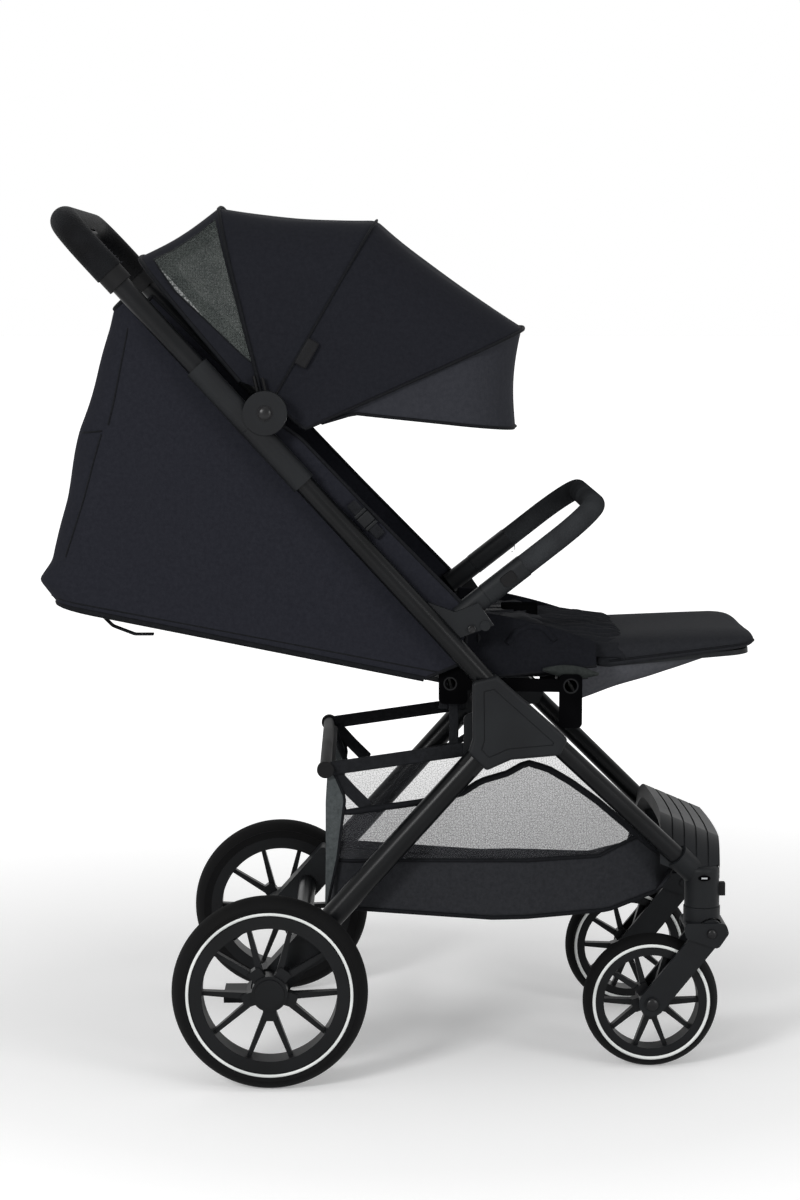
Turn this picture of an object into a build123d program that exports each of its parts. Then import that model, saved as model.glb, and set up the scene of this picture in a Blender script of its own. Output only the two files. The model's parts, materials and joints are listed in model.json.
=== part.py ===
from build123d import *
import os
from math import atan2, cos, degrees, hypot, radians, sin, tan

# Baby stroller. Millimetres, +X forward, +Y to the child's left, +Z up, wheels standing on Z = 0.
# Pieces are drawn for the right-hand side, where Y is negative, and mirrored to the left.

# Fits and gaps
FIT = 0.02
RUNNING_FIT = 0.05
SOFT_GAP = 0.4
FACE_GAP = 0.3
OVERCUT = 1.0

# Wheels
REAR_AXLE_X = -153.0
WHEELBASE = 455.0
REAR_WHEEL_RADIUS = 115.0
REAR_TRACK = 476.0
REAR_TYRE_WIDTH = 38.0
REAR_TYRE_BORE = 93.0
REAR_RIM_BORE = 79.0
FRONT_WHEEL_RADIUS = 81.5
FRONT_TRACK = 292.0
FRONT_TYRE_WIDTH = 32.0
FRONT_TYRE_BORE = 66.0
FRONT_RIM_BORE = 57.0
TYRE_STEP = 1.2
SPOKE_PAIRS = 5
SPOKE_HALF_ANGLE = 18.0
SPOKE_ROOT_WIDTH = 8.0
SPOKE_TIP_WIDTH = 5.0
SPOKE_DEPTH = 11.0
REAR_HUB_RADIUS = 21.0
REAR_STAR_RADIUS = 33.0
FRONT_HUB_RADIUS = 15.0
FRONT_STAR_RADIUS = 23.0
HUB_CAP_RADIUS = 17.0
HUB_CAP_THICKNESS = 2.0
REAR_AXLE_RADIUS = 6.0
FRONT_AXLE_RADIUS = 5.0
FRONT_AXLE_HEAD_RADIUS = 8.0
FRONT_AXLE_HEAD_HEIGHT = 3.5

# Main tubes and their fold hinge
TUBE_LEAN = 47.5
TUBE_Y = 206.0
TUBE_RADIUS = 12.0
TUBE_WALL = 1.6
HINGE_X = -156.0
HINGE_Z = 790.0
HINGE_OFFSET = 22.5
HINGE_DISC_RADIUS = 25.5
HINGE_DISC_PROUD = 2.0
HINGE_HOUSING_DEPTH = 29.0
HINGE_HOUSING_WIDTH = 28.0
HINGE_HOUSING_ROUND = 11.0
UPPER_HOUSING_LENGTH = 92.0
LOWER_HOUSING_LENGTH = 90.0
TUBE_SEAT_LENGTH = 40.0
HINGE_PIN_RADIUS = 6.0
HINGE_HEAD_RADIUS = 9.0
HINGE_HEAD_HEIGHT = 2.0
LOWER_TUBE_RUN = 398.0
HUB_SEAT_LENGTH = 38.0

# Push handle
HANDLE_REACH = 320.0
HANDLE_BEND = 52.0
GRIP_RADIUS = 17.5
GRIP_STRAIGHT = 29.0
SLEEVE_RUN = 19.0
SLEEVE_RADIUS = 16.0
BUTTON_LENGTH = 62.0
BUTTON_WIDTH = 16.0
BUTTON_TOP = 21.5
BUTTON_FLOOR = 16.8
BUTTON_POCKET_FLOOR = 12.6

# Hub housings
HUB_COVER_FACE = 229.0
HUB_COVER_BACK = 219.0
HUB_BLOCK_INNER = 186.0
HUB_PLATE_INNER = 182.0
HUB_EDGE_ROUND = 4.0
HUB_PANEL_STEP = 1.2
HUB_PANEL_INSET = 13.0

# Rear legs, which fold forward about the hub
LEG_PIVOT_X = 105.0
LEG_PIVOT_Z = 402.0
REAR_LEG_Y = 201.0
REAR_LEG_RADIUS = 14.0
REAR_LEG_WALL = 1.5
REAR_LEG_TUBE_START = 24.0
LEG_EYE_RADIUS = 17.0
LEG_EYE_WIDTH = 24.0
LEG_NECK_LENGTH = 40.0
LEG_PIN_RADIUS = 5.0
LEG_PIN_SEAT = 4.0
LEG_PIN_HEAD = 3.0
HOUSING_LENGTH = 104.0
HOUSING_SEAT_LENGTH = 30.0
HOUSING_INNER = 182.0
HOUSING_OUTER = 217.5
HOUSING_TOP_WIDTH = 37.0
HOUSING_BOSS_RADIUS = 23.0
CROSS_TUBE_UP_LEG = 72.0
CROSS_TUBE_RADIUS = 11.0
CROSS_TUBE_SEAT = 10.0

# Brake pedal on the right wheel housing
PEDAL_PIN_X = -136.0
PEDAL_PIN_Z = 128.0
PEDAL_PIN_RADIUS = 5.0
PEDAL_PIN_LENGTH = 66.0
PEDAL_SLEEVE_RADIUS = 10.0
PEDAL_WIDTH = 56.0
PEDAL_TIP_X = -210.0
PEDAL_TIP_Z = 92.0
PEDAL_THICKNESS = 10.0

# Front legs, swivel housings and footplate
FRONT_LEG_RADIUS = 11.0
FRONT_LEG_WALL = 1.5
FRONT_LEG_TOP_X = 190.0
FRONT_LEG_TOP_Y = 200.0
FRONT_LEG_TOP_Z = 395.0
FRONT_LEG_FOOT_X = 331.0
FRONT_LEG_FOOT_Y = 155.0
FRONT_LEG_FOOT_Z = 259.0
FRONT_LEG_HUB_SEAT = 25.0
FRONT_LEG_ELBOW_SEAT = 14.0
CASTOR_TRAIL = 61.0
SWIVEL_RADIUS = 21.0
SWIVEL_FLOOR = 197.0
SWIVEL_TOP = 246.0
ELBOW_RADIUS = 15.0
STEM_RADIUS = 8.0
STEM_TOP = 228.0
LOCK_FLOOR = 209.0
LOCK_HEIGHT = 16.0
LOCK_WIDTH = 14.0
LOCK_DEPTH = 12.0
LOCK_POCKET_DEPTH = 6.0
LOCK_TRAVEL = 5.0
FOOTPLATE_TOP = 285.0
FOOTPLATE_TILT = 23.0
FOOTPLATE_FLOOR = 243.0
FOOTPLATE_THICKNESS = 16.0
FOOTPLATE_FLAT = 96.0
FOOTPLATE_FALL = 34.0
FOOTPLATE_REAR_X = 320.0
FOOTPLATE_FRONT_X = 392.0
FOOTPLATE_HALF_WIDTH = 158.0
FOOTPLATE_BOW = 9.0
FOOTPLATE_GROOVES = 4
GROOVE_WIDTH = 2.4
GROOVE_DEPTH = 1.6

# Front forks
CROWN_TOP = 196.5
CROWN_SHOULDER = 176.0
CROWN_RADIUS = 22.0
CROWN_CHEEK_GAP = 25.0
CROWN_HALF_WIDTH = 29.0
CROWN_SKIRT_RADIUS = 21.0
ARM_PIVOT_X = 372.0
ARM_PIVOT_Z = 168.0
ARM_PIN_RADIUS = 5.0
ARM_PIN_PROUD = 2.0
ARM_ROOM = 1.5
ARM_WIDTH = 31.0
ARM_INNER = 18.5
ARM_THICKNESS = 6.0
ARM_BRIDGE_RADIUS = 14.0
WHEEL_ROOM = 4.5

# Seat rails and cross tubes
RAIL_INNER_Y = 180.0
RAIL_HALF_HEIGHT = 7.5
RAIL_BOSS_RADIUS = 13.5
RAIL_PLATE_LENGTH = 34.0
RAIL_PLATE_ABOVE = 34.0
RAIL_PLATE_BELOW = 24.0
RAIL_BRACKET_BELOW = 50.0
RAIL_ROUND = 6.0
RECLINE_X = 59.0
RECLINE_Z = 471.0
RECLINE_TUBE_RADIUS = 8.0
LEGREST_X = 201.0
LEGREST_Z = 468.0
LEGREST_TUBE_RADIUS = 9.0
SLEEVE_WALL = 4.0
SLEEVE_LENGTH = 34.0
SLEEVE_Y = 122.0

# Backrest, seat pad and legrest
BACKREST_LIE = 11.5
BACKREST_LENGTH = 462.0
BACKREST_HALF_WIDTH = 172.0
BACKREST_BOARD = 6.0
BACKREST_CORNER = 40.0
BACKREST_PAD_START = 36.0
BACKREST_PAD_INSET = 4.0
BACKREST_PAD_THICKNESS = 26.0
BACKREST_PAD_CROWN = 8.0
SEAT_PAD_REAR_X = 82.0
SEAT_PAD_FRONT_X = 194.0
SEAT_PAD_HALF_WIDTH = 165.0
SEAT_PAD_THICKNESS = 38.0
SEAT_PAD_CROWN = 10.0
LEGREST_LIE = 5.0
LEGREST_BOARD_RISE = 15.0
LEGREST_BOARD_START = 12.0
LEGREST_BOARD = 6.0
LEGREST_BOARD_INSET = 6.0
LEGREST_CORNER = 24.0
LEGREST_PAD_TAPER = 0.7
LEGREST_TIP_X = 425.0
LEGREST_HALF_WIDTH = 140.0
LEGREST_PAD_START = 22.0
LEGREST_PAD_SETBACK = 2.0
LEGREST_PAD_THICKNESS = 26.0
LEGREST_PAD_CROWN = 8.0
CHANNEL_DEPTH = 4.5
BUCKLE_LENGTH = 44.0
BUCKLE_WIDTH = 40.0
BUCKLE_HEIGHT = 13.0
BUCKLE_X = 150.0

# Bumper bar
BUMPER_LIE = 38.0
BUMPER_SEAM_X = 100.5
BUMPER_SEAM_Z = 576.0
BUMPER_Y = 187.0
BUMPER_REACH = 166.0
BUMPER_BEND = 62.0
BUMPER_BAR_RADIUS = 13.0
BUMPER_BAR_START = 57.0
SOCKET_SEAT_LOW = 52.0
SOCKET_SEAT_HIGH = 108.0
SOCKET_LENGTH = 40.0
SOCKET_DEPTH = 26.0
SOCKET_WIDTH = 25.0
SOCKET_ROUND = 10.5
SOCKET_BOLT_RADIUS = 6.0
SPIGOT_RADIUS = 8.0
SPIGOT_LENGTH = 30.0
PLATE_INNER = 192.0
PLATE_OUTER = 205.0
RELEASE_AT = 24.0
RELEASE_LENGTH = 18.0
RELEASE_WIDTH = 13.0
RELEASE_DEPTH = 6.0
RELEASE_POCKET_DEPTH = 10.0
RELEASE_PROUD = 1.2

# Canopy, a fan of bows about the fold hinge
REAR_BOW_ANGLE = 103.5
MID_BOW_ANGLE = 60.0
FRONT_BOW_ANGLE = 20.0
COVER_FRONT_ANGLE = 17.5
VISOR_TOP_ANGLE = 18.5
VISOR_LOW_ANGLE = -7.0
REAR_COVER_RADIUS = 247.0
MID_COVER_RADIUS = 260.0
FRONT_COVER_RADIUS = 323.0
FRONT_BOW_RADIUS = 288.0
VISOR_LOW_RADIUS = 301.0
CANOPY_CORNER = 78.0
CANOPY_CROWN = 14.0
CANOPY_HALF_WIDTH = 193.4
CANOPY_HEM_RADIUS = 42.0
CLOTH = 3.0
BOW_THICKNESS = 3.6
BOW_WIDTH = 10.0
BOW_EYE_RADIUS = 11.0
BOW_LAYER = 4.2
BOW_ROOM = 2.4
VISOR_HEM_RADIUS = 112.0
VISOR_ROOM = 1.5
HEM_CUT = 20.0
HOOD_REAR_ANGLE = 129.0
HOOD_REAR_RADIUS = 236.0
HOOD_HEM_RADIUS = 52.0

# Seat shell, the cloth hung between the main tubes and the backrest
SHELL_TUBE_GAP = 0.6
SHELL_HALF_WIDTH = TUBE_Y - TUBE_RADIUS - SHELL_TUBE_GAP
SHELL_WAIST_X = -375.0
SHELL_WAIST_Z = 769.0
SHELL_BULGE_X = -409.0
SHELL_BULGE_TOP = 614.0
SHELL_REAR_X = -425.0
SHELL_REAR_Z = 592.0
SHELL_HEM_X = -404.0
SHELL_HEM_Z = 565.0
SHELL_FRONT_X = 28.0
SHELL_FRONT_Z = 478.0
SHELL_TOP_CLEARANCE = 14.0
SHELL_TOP_DEPTH = 26.0
SHELL_FOOT_RUN = 372.0
SHELL_EDGE_SETBACK = 4.0
WING_TOP_RUN = 58.0
WING_TOP_DEPTH = 27.0
WING_FOOT_RUN = 286.0
WING_FOOT_DEPTH = 40.0

# Basket
BASKET_HALF_WIDTH = 179.0
BASKET_FRONT_HALF_WIDTH = 128.0
BASKET_TAPER_X = 150.0
BASKET_FRONT_X = 332.0
BASKET_ROD_X = -88.0
BASKET_ROD_Z = 369.0
BASKET_ROD_RADIUS = 7.0
BASKET_KNOB_RADIUS = 10.0
BASKET_KNOB_LENGTH = 6.0
STRAP_WIDTH = 16.0
STRAP_THICKNESS = 2.4
STRAP_END_X = 90.0
STRAP_END_Z = 394.0
BASKET_FLOOR_Z = 188.0
BASKET_SAG_X = 110.0
BASKET_BEND_X = 250.0
BASKET_LEAN = 8.0
BASKET_HEEL = 14.0
BASKET_TOE = 34.0
BASKET_NOSE_Z = 240.0
BASKET_RIM_FRONT_X = 205.0
BASKET_RIM_FRONT_Z = 340.0
BASKET_PEAK_X = 140.0
BASKET_PEAK_Z = 374.0
BASKET_STEP_X = 92.0
BASKET_DIP_X = 62.0
BASKET_DIP_Z = 334.0

# Places worked out from the sizes above
front_axle_x = REAR_AXLE_X + WHEELBASE
swivel_x = front_axle_x + CASTOR_TRAIL
rear_wheel_y = REAR_TRACK / 2
front_wheel_y = FRONT_TRACK / 2
lean_cos = cos(radians(TUBE_LEAN))
lean_sin = sin(radians(TUBE_LEAN))
housing_inner = TUBE_Y - TUBE_RADIUS
housing_outer = housing_inner + HINGE_HOUSING_WIDTH
grip_start = HANDLE_REACH - HANDLE_BEND - GRIP_STRAIGHT
sleeve_start = grip_start - SLEEVE_RUN
shell_top_run = sleeve_start - SHELL_TOP_CLEARANCE
leg_run = hypot(LEG_PIVOT_X - REAR_AXLE_X, LEG_PIVOT_Z - REAR_WHEEL_RADIUS)
leg_angle = degrees(atan2(REAR_WHEEL_RADIUS - LEG_PIVOT_Z, REAR_AXLE_X - LEG_PIVOT_X))


def on_tube(run, front=0.0):
    """(x, z) at a run up the main tube from its fold hinge, and a distance in front of its axis."""
    x = HINGE_X + (front - HINGE_OFFSET) * lean_sin - run * lean_cos
    z = HINGE_Z + (front - HINGE_OFFSET) * lean_cos + run * lean_sin
    return x, z


def on_rear_leg(run, across=0.0):
    """(x, z) at a run down the rear leg from its pivot, and a distance across it, forward and down."""
    c, s = cos(radians(leg_angle)), sin(radians(leg_angle))
    return LEG_PIVOT_X + run * c - across * s, LEG_PIVOT_Z + run * s + across * c


def on_bumper(run, above=0.0):
    """(x, z) at a run along the bumper's arm from its socket seam, and a distance above its axis."""
    c, s = cos(radians(BUMPER_LIE)), sin(radians(BUMPER_LIE))
    return BUMPER_SEAM_X + run * c - above * s, BUMPER_SEAM_Z + run * s + above * c


def outline(points, rounding=0.0):
    """Closed flat shape through (x, z) points, its corners rounded."""
    face = make_face(Polyline(*points, close=True))
    return fillet(face.vertices(), rounding) if rounding else face


def slab(face, y_from, y_to):
    """A flat shape in X and Z, thickened from one Y to another."""
    return extrude(Plane.XZ.offset(-y_from) * face, amount=y_from - y_to)


def right_slab(face, inner, outer):
    """A flat shape thickened on the right-hand side, between two distances from the middle."""
    return slab(face, -outer, -inner)


def disc(x, z, radius, y_from, y_to):
    return slab(Pos(x, z) * Circle(radius), y_from, y_to)


def right_disc(x, z, radius, inner, outer):
    return disc(x, z, radius, -outer, -inner)


def rod(start, end, radius):
    """A round bar between two points."""
    along = Vector(*end) - Vector(*start)
    return extrude(Plane(origin=start, z_dir=along) * Circle(radius), amount=along.length)


def strip(line, run_from, run_to, half):
    """Corners of a strip along a line, such as on_tube, between two runs and to a half width."""
    return [line(run_from, -half), line(run_to, -half), line(run_to, half), line(run_from, half)]


def edges_along(shape, way):
    """The straight edges of a shape that run along a direction."""
    unit = way.normalized()
    return shape.edges().filter_by(lambda edge: abs(edge.tangent_at(0.5).dot(unit)) > 0.99)


def on_side(place, y):
    """An (x, z) place set at a Y."""
    return place[0], y, place[1]


def left_of(shape):
    return mirror(shape, about=Plane.XZ)


def pair(shape):
    """A piece and its mirror image, as separate solids of one group."""
    return Compound(children=[*shape.solids(), *left_of(shape).solids()])


# Wheels

def tyre(radius, bore, width):
    """Rounded tyre about the Y axis, with a shallow step on each sidewall where the tread ends."""
    half = width / 2
    shoulder = bore + 0.45 * (radius - bore)
    rise = ThreePointArc((shoulder, half - TYRE_STEP), (radius - 0.29 * half, 0.66 * half), (radius, 0))
    fall = ThreePointArc((radius, 0), (radius - 0.29 * half, -0.66 * half), (shoulder, TYRE_STEP - half))
    rim_side = Polyline(
        (shoulder, TYRE_STEP - half),
        (shoulder, -half),
        (bore, TYRE_STEP - half),
        (bore, half - TYRE_STEP),
        (shoulder, half),
        (shoulder, half - TYRE_STEP),
    )
    return revolve(make_face([*rise.edges(), *fall.edges(), *rim_side.edges()]), Axis.Y)


def spoke(pair_angle, lean, star, rim_bore, depth):
    """One spoke, from the tip of a star arm out to the rim."""
    root_angle = radians(pair_angle + lean * SPOKE_HALF_ANGLE * 0.35)
    tip_angle = radians(pair_angle + lean * SPOKE_HALF_ANGLE)
    root_r = star * 0.62
    tip_r = rim_bore + 2.0
    root = Vector(root_r * cos(root_angle), root_r * sin(root_angle))
    tip = Vector(tip_r * cos(tip_angle), tip_r * sin(tip_angle))
    side = (tip - root).normalized().rotate(Axis.Z, 90)
    corners = [
        root + side * (SPOKE_ROOT_WIDTH / 2),
        tip + side * (SPOKE_TIP_WIDTH / 2),
        tip - side * (SPOKE_TIP_WIDTH / 2),
        root - side * (SPOKE_ROOT_WIDTH / 2),
    ]
    return slab(outline([(p.X, p.Y) for p in corners]), -depth / 2, depth / 2)


def star_hub(hub, star, depth):
    """Hub with one stubby arm for each pair of spokes and deep pockets between the arms."""
    arm = Pos(star / 2, 0) * Rectangle(star, 2 * SPOKE_ROOT_WIDTH)
    turn = 360 / SPOKE_PAIRS
    arms = [Rot(0, 0, 90 - turn / 2 + turn * k) * fillet(arm.vertices(), 3.0) for k in range(SPOKE_PAIRS)]
    return slab(Sketch() + [Circle(hub), *arms], -depth / 2, depth / 2)


def rim(tyre_bore, rim_bore, width, hub, star):
    """Moulded rim about the Y axis: a channel ring, paired spokes and a star-shaped hub."""
    half = width / 2 - TYRE_STEP
    ring = revolve(
        outline([(rim_bore, -half), (tyre_bore - FIT, -half), (tyre_bore - FIT, half), (rim_bore, half)]),
        Axis.Y,
    )
    turn = 360 / SPOKE_PAIRS
    spokes = [
        spoke(90 - turn / 2 + turn * k, lean, star, rim_bore, SPOKE_DEPTH)
        for k in range(SPOKE_PAIRS)
        for lean in (-1, 1)
    ]
    return Part() + [ring, star_hub(hub, star, SPOKE_DEPTH + 6.0), *spokes]


def rear_wheel():
    """Rear tyre and rim, standing at the right-hand axle."""
    place = Pos(REAR_AXLE_X, -rear_wheel_y, REAR_WHEEL_RADIUS)
    half = REAR_TYRE_WIDTH / 2
    wheel = rim(REAR_TYRE_BORE, REAR_RIM_BORE, REAR_TYRE_WIDTH, REAR_HUB_RADIUS, REAR_STAR_RADIUS)
    wheel += disc(0, 0, REAR_HUB_RADIUS, 0, half - FACE_GAP)
    wheel += disc(0, 0, REAR_HUB_RADIUS, -half * 0.62, 0)
    wheel += disc(0, 0, HUB_CAP_RADIUS, -half * 0.62 - HUB_CAP_THICKNESS, 0)
    wheel -= disc(0, 0, REAR_AXLE_RADIUS + RUNNING_FIT, -half * 0.5, half)
    return place * tyre(REAR_WHEEL_RADIUS, REAR_TYRE_BORE, REAR_TYRE_WIDTH), place * wheel


def front_wheel():
    """Front tyre and rim, standing between the right-hand fork arms."""
    place = Pos(front_axle_x, -front_wheel_y, FRONT_WHEEL_RADIUS)
    half = FRONT_TYRE_WIDTH / 2
    wheel = rim(FRONT_TYRE_BORE, FRONT_RIM_BORE, FRONT_TYRE_WIDTH, FRONT_HUB_RADIUS, FRONT_STAR_RADIUS)
    wheel += disc(0, 0, FRONT_HUB_RADIUS, -half, half)
    wheel -= disc(0, 0, FRONT_AXLE_RADIUS + RUNNING_FIT, -half, half)
    return place * tyre(FRONT_WHEEL_RADIUS, FRONT_TYRE_BORE, FRONT_TYRE_WIDTH), place * wheel


# Main tubes, hinge and handle

def lower_tube():
    start = on_side(on_tube(TUBE_SEAT_LENGTH - LOWER_HOUSING_LENGTH), -TUBE_Y)
    end = on_side(on_tube(-LOWER_TUBE_RUN - HUB_SEAT_LENGTH), -TUBE_Y)
    return rod(start, end, TUBE_RADIUS) - rod(start, end, TUBE_RADIUS - TUBE_WALL)


def housing_block(run_from, run_to):
    """Hinge housing body round the main tube, between two runs from the hinge."""
    half = HINGE_HOUSING_DEPTH / 2
    block = right_slab(outline(strip(on_tube, run_from, run_to, half)), housing_inner, housing_outer)
    along = Vector(*on_side(on_tube(run_to), 0)) - Vector(*on_side(on_tube(run_from), 0))
    return fillet(edges_along(block, along), HINGE_HOUSING_ROUND)


def tube_bore(run_from, run_to):
    start = on_side(on_tube(run_from), -TUBE_Y)
    end = on_side(on_tube(run_to), -TUBE_Y)
    return rod(start, end, TUBE_RADIUS + FIT)


def upper_hinge():
    """Upper half of the fold hinge: its disc lies outside, and its body ends above the lower disc."""
    middle = (housing_inner + housing_outer) / 2
    body = housing_block(FACE_GAP, UPPER_HOUSING_LENGTH)
    body -= right_disc(HINGE_X, HINGE_Z, HINGE_DISC_RADIUS + SOFT_GAP, housing_inner - 1, middle + FACE_GAP)
    outer = housing_outer + HINGE_DISC_PROUD
    body += right_disc(HINGE_X, HINGE_Z, HINGE_DISC_RADIUS, middle + FACE_GAP, outer)
    body -= tube_bore(UPPER_HOUSING_LENGTH - TUBE_SEAT_LENGTH, UPPER_HOUSING_LENGTH + 1)
    body -= right_disc(HINGE_X, HINGE_Z, HINGE_HEAD_RADIUS + FACE_GAP, housing_outer, outer + OVERCUT)
    bore = HINGE_PIN_RADIUS + RUNNING_FIT
    return body - right_disc(HINGE_X, HINGE_Z, bore, housing_inner, outer + OVERCUT)


def lower_hinge():
    """Lower half of the fold hinge: its disc lies inside, and its body ends below the upper disc."""
    middle = (housing_inner + housing_outer) / 2
    body = housing_block(-LOWER_HOUSING_LENGTH, 0)
    body -= right_disc(HINGE_X, HINGE_Z, HINGE_DISC_RADIUS + SOFT_GAP, middle, housing_outer + 3)
    body += right_disc(HINGE_X, HINGE_Z, HINGE_DISC_RADIUS, housing_inner, middle)
    body -= tube_bore(-LOWER_HOUSING_LENGTH - 1, TUBE_SEAT_LENGTH - LOWER_HOUSING_LENGTH)
    return body - right_disc(HINGE_X, HINGE_Z, HINGE_PIN_RADIUS + FIT, housing_inner - 1, housing_outer)


def hinge_pin():
    """Rivet of the fold hinge. Its inner end carries the canopy bows."""
    inner_end = CANOPY_HALF_WIDTH - CLOTH - SOFT_GAP - 3 * BOW_LAYER
    pin = right_disc(HINGE_X, HINGE_Z, HINGE_PIN_RADIUS, inner_end, housing_outer)
    head_top = housing_outer + HINGE_HEAD_HEIGHT
    return pin + right_disc(HINGE_X, HINGE_Z, HINGE_HEAD_RADIUS, housing_outer, head_top)


def leg_pin():
    pin_end = HUB_COVER_BACK + LEG_PIN_SEAT
    pin = right_disc(LEG_PIVOT_X, LEG_PIVOT_Z, LEG_PIN_RADIUS, HUB_PLATE_INNER, pin_end)
    head_end = HUB_PLATE_INNER - LEG_PIN_HEAD
    return pin + right_disc(LEG_PIVOT_X, LEG_PIVOT_Z, 1.8 * LEG_PIN_RADIUS, head_end, HUB_PLATE_INNER)


handle_plane = Plane(
    origin=on_side(on_tube(0), 0), x_dir=(0, 1, 0), z_dir=(lean_sin, 0, lean_cos)
)


def handle_path(start):
    """Centre line of the bent handle tube, from a run up one arm round to the other."""
    corners = [(-TUBE_Y, start), (-TUBE_Y, HANDLE_REACH), (TUBE_Y, HANDLE_REACH), (TUBE_Y, start)]
    return handle_plane * FilletPolyline(*corners, radius=HANDLE_BEND)


def swept(path, radius):
    return sweep(Plane(origin=path @ 0, z_dir=path % 0) * Circle(radius), path=path)


def handle_tube():
    path = handle_path(UPPER_HOUSING_LENGTH - TUBE_SEAT_LENGTH)
    return swept(path, TUBE_RADIUS) - swept(path, TUBE_RADIUS - TUBE_WALL)


def button_block(floor, top, length, width):
    """A block on the inner side of the handle's cross bar, between two distances from its axis."""
    block = Box(length, top - floor, width)
    return handle_plane * (Pos(0, HANDLE_REACH - (top + floor) / 2, 0) * block)


def handle_grip():
    path = handle_path(grip_start)
    grip = swept(path, GRIP_RADIUS) - swept(handle_path(grip_start - OVERCUT), TUBE_RADIUS + FIT)
    room = 2 * FACE_GAP
    return grip - button_block(BUTTON_POCKET_FLOOR, BUTTON_TOP, BUTTON_LENGTH + room, BUTTON_WIDTH + room)


def fold_button():
    button = button_block(BUTTON_FLOOR, BUTTON_TOP, BUTTON_LENGTH, BUTTON_WIDTH)
    return fillet(button.edges(), 1.5)


def grip_sleeve():
    start = on_side(on_tube(sleeve_start), -TUBE_Y)
    end = on_side(on_tube(grip_start - FIT), -TUBE_Y)
    return rod(start, end, SLEEVE_RADIUS) - rod(start, end, TUBE_RADIUS + FIT)


# Hub, legs and rear frame

hub_top = on_tube(-LOWER_TUBE_RUN)
hub_cover_points = [
    (hub_top[0] - 13, hub_top[1] - 3),
    (hub_top[0] + 16, hub_top[1] + 4),
    (FRONT_LEG_TOP_X + 5, FRONT_LEG_TOP_Z + 16),
    (FRONT_LEG_TOP_X - 4, FRONT_LEG_TOP_Z - 3),
    (LEG_PIVOT_X + 24, LEG_PIVOT_Z - 15),
    on_rear_leg(24, 15),
    on_rear_leg(22, -15),
    (LEG_PIVOT_X - 21, LEG_PIVOT_Z + 10),
]
hub_block_points = [
    (hub_top[0] - 12, hub_top[1] - 4),
    (hub_top[0] + 15, hub_top[1] + 2),
    (FRONT_LEG_TOP_X + 4, FRONT_LEG_TOP_Z + 15),
    (FRONT_LEG_TOP_X - 4, FRONT_LEG_TOP_Z - 2),
    (LEG_PIVOT_X + 26, LEG_PIVOT_Z - 13),
    (LEG_PIVOT_X + 24, LEG_PIVOT_Z + 22),
    (LEG_PIVOT_X - 17, LEG_PIVOT_Z + 57),
]
hub_plate_points = [
    (LEG_PIVOT_X - 30, LEG_PIVOT_Z + 30),
    (LEG_PIVOT_X - 10, LEG_PIVOT_Z + 40),
    (LEG_PIVOT_X + 46, LEG_PIVOT_Z + 40),
    (LEG_PIVOT_X + 46, LEG_PIVOT_Z - 8),
    (LEG_PIVOT_X - 2, LEG_PIVOT_Z - 20),
    (LEG_PIVOT_X - 30, LEG_PIVOT_Z - 20),
]


front_leg_top = Vector(FRONT_LEG_TOP_X, -FRONT_LEG_TOP_Y, FRONT_LEG_TOP_Z)
front_leg_foot = Vector(FRONT_LEG_FOOT_X, -FRONT_LEG_FOOT_Y, FRONT_LEG_FOOT_Z)
front_leg_way = (front_leg_foot - front_leg_top).normalized()


def front_leg_rod(radius, past_top, past_foot):
    start = front_leg_top - front_leg_way * past_top
    end = front_leg_foot + front_leg_way * past_foot
    return rod(tuple(start), tuple(end), radius)


def front_leg():
    outer = front_leg_rod(FRONT_LEG_RADIUS, FRONT_LEG_HUB_SEAT, FRONT_LEG_ELBOW_SEAT)
    bore = FRONT_LEG_RADIUS - FRONT_LEG_WALL
    return outer - front_leg_rod(bore, FRONT_LEG_HUB_SEAT, FRONT_LEG_ELBOW_SEAT)


def hub_housing():
    """Moulded hub: outer cover with an inset panel, a block round the tubes and a plate behind the leg."""
    cover = right_slab(outline(hub_cover_points, 5.0), HUB_COVER_BACK, HUB_COVER_FACE)
    cover = fillet(cover.faces().sort_by(Axis.Y)[0].edges(), HUB_EDGE_ROUND)
    panel = offset(outline(hub_cover_points), -HUB_PANEL_INSET)
    panel_edge = panel - offset(outline(hub_cover_points), -HUB_PANEL_INSET - HUB_PANEL_STEP)
    cover -= right_slab(panel_edge, HUB_COVER_FACE - HUB_PANEL_STEP, HUB_COVER_FACE + 1)
    hub = cover + right_slab(outline(hub_block_points, 3.0), HUB_BLOCK_INNER, HUB_COVER_BACK)
    hub += right_slab(outline(hub_plate_points, 6.0), HUB_PLATE_INNER, HUB_BLOCK_INNER)
    hub -= tube_bore(-LOWER_TUBE_RUN - HUB_SEAT_LENGTH - FIT, -LOWER_TUBE_RUN + 40)
    hub -= front_leg_rod(FRONT_LEG_RADIUS + FIT, FRONT_LEG_HUB_SEAT + FIT, 0)
    inner, outer = HUB_PLATE_INNER - OVERCUT, HUB_COVER_BACK + LEG_PIN_SEAT + FIT
    return hub - right_disc(LEG_PIVOT_X, LEG_PIVOT_Z, LEG_PIN_RADIUS + FIT, inner, outer)


cross_tube_place = on_rear_leg(leg_run - CROSS_TUBE_UP_LEG + HOUSING_TOP_WIDTH / 2)


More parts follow.
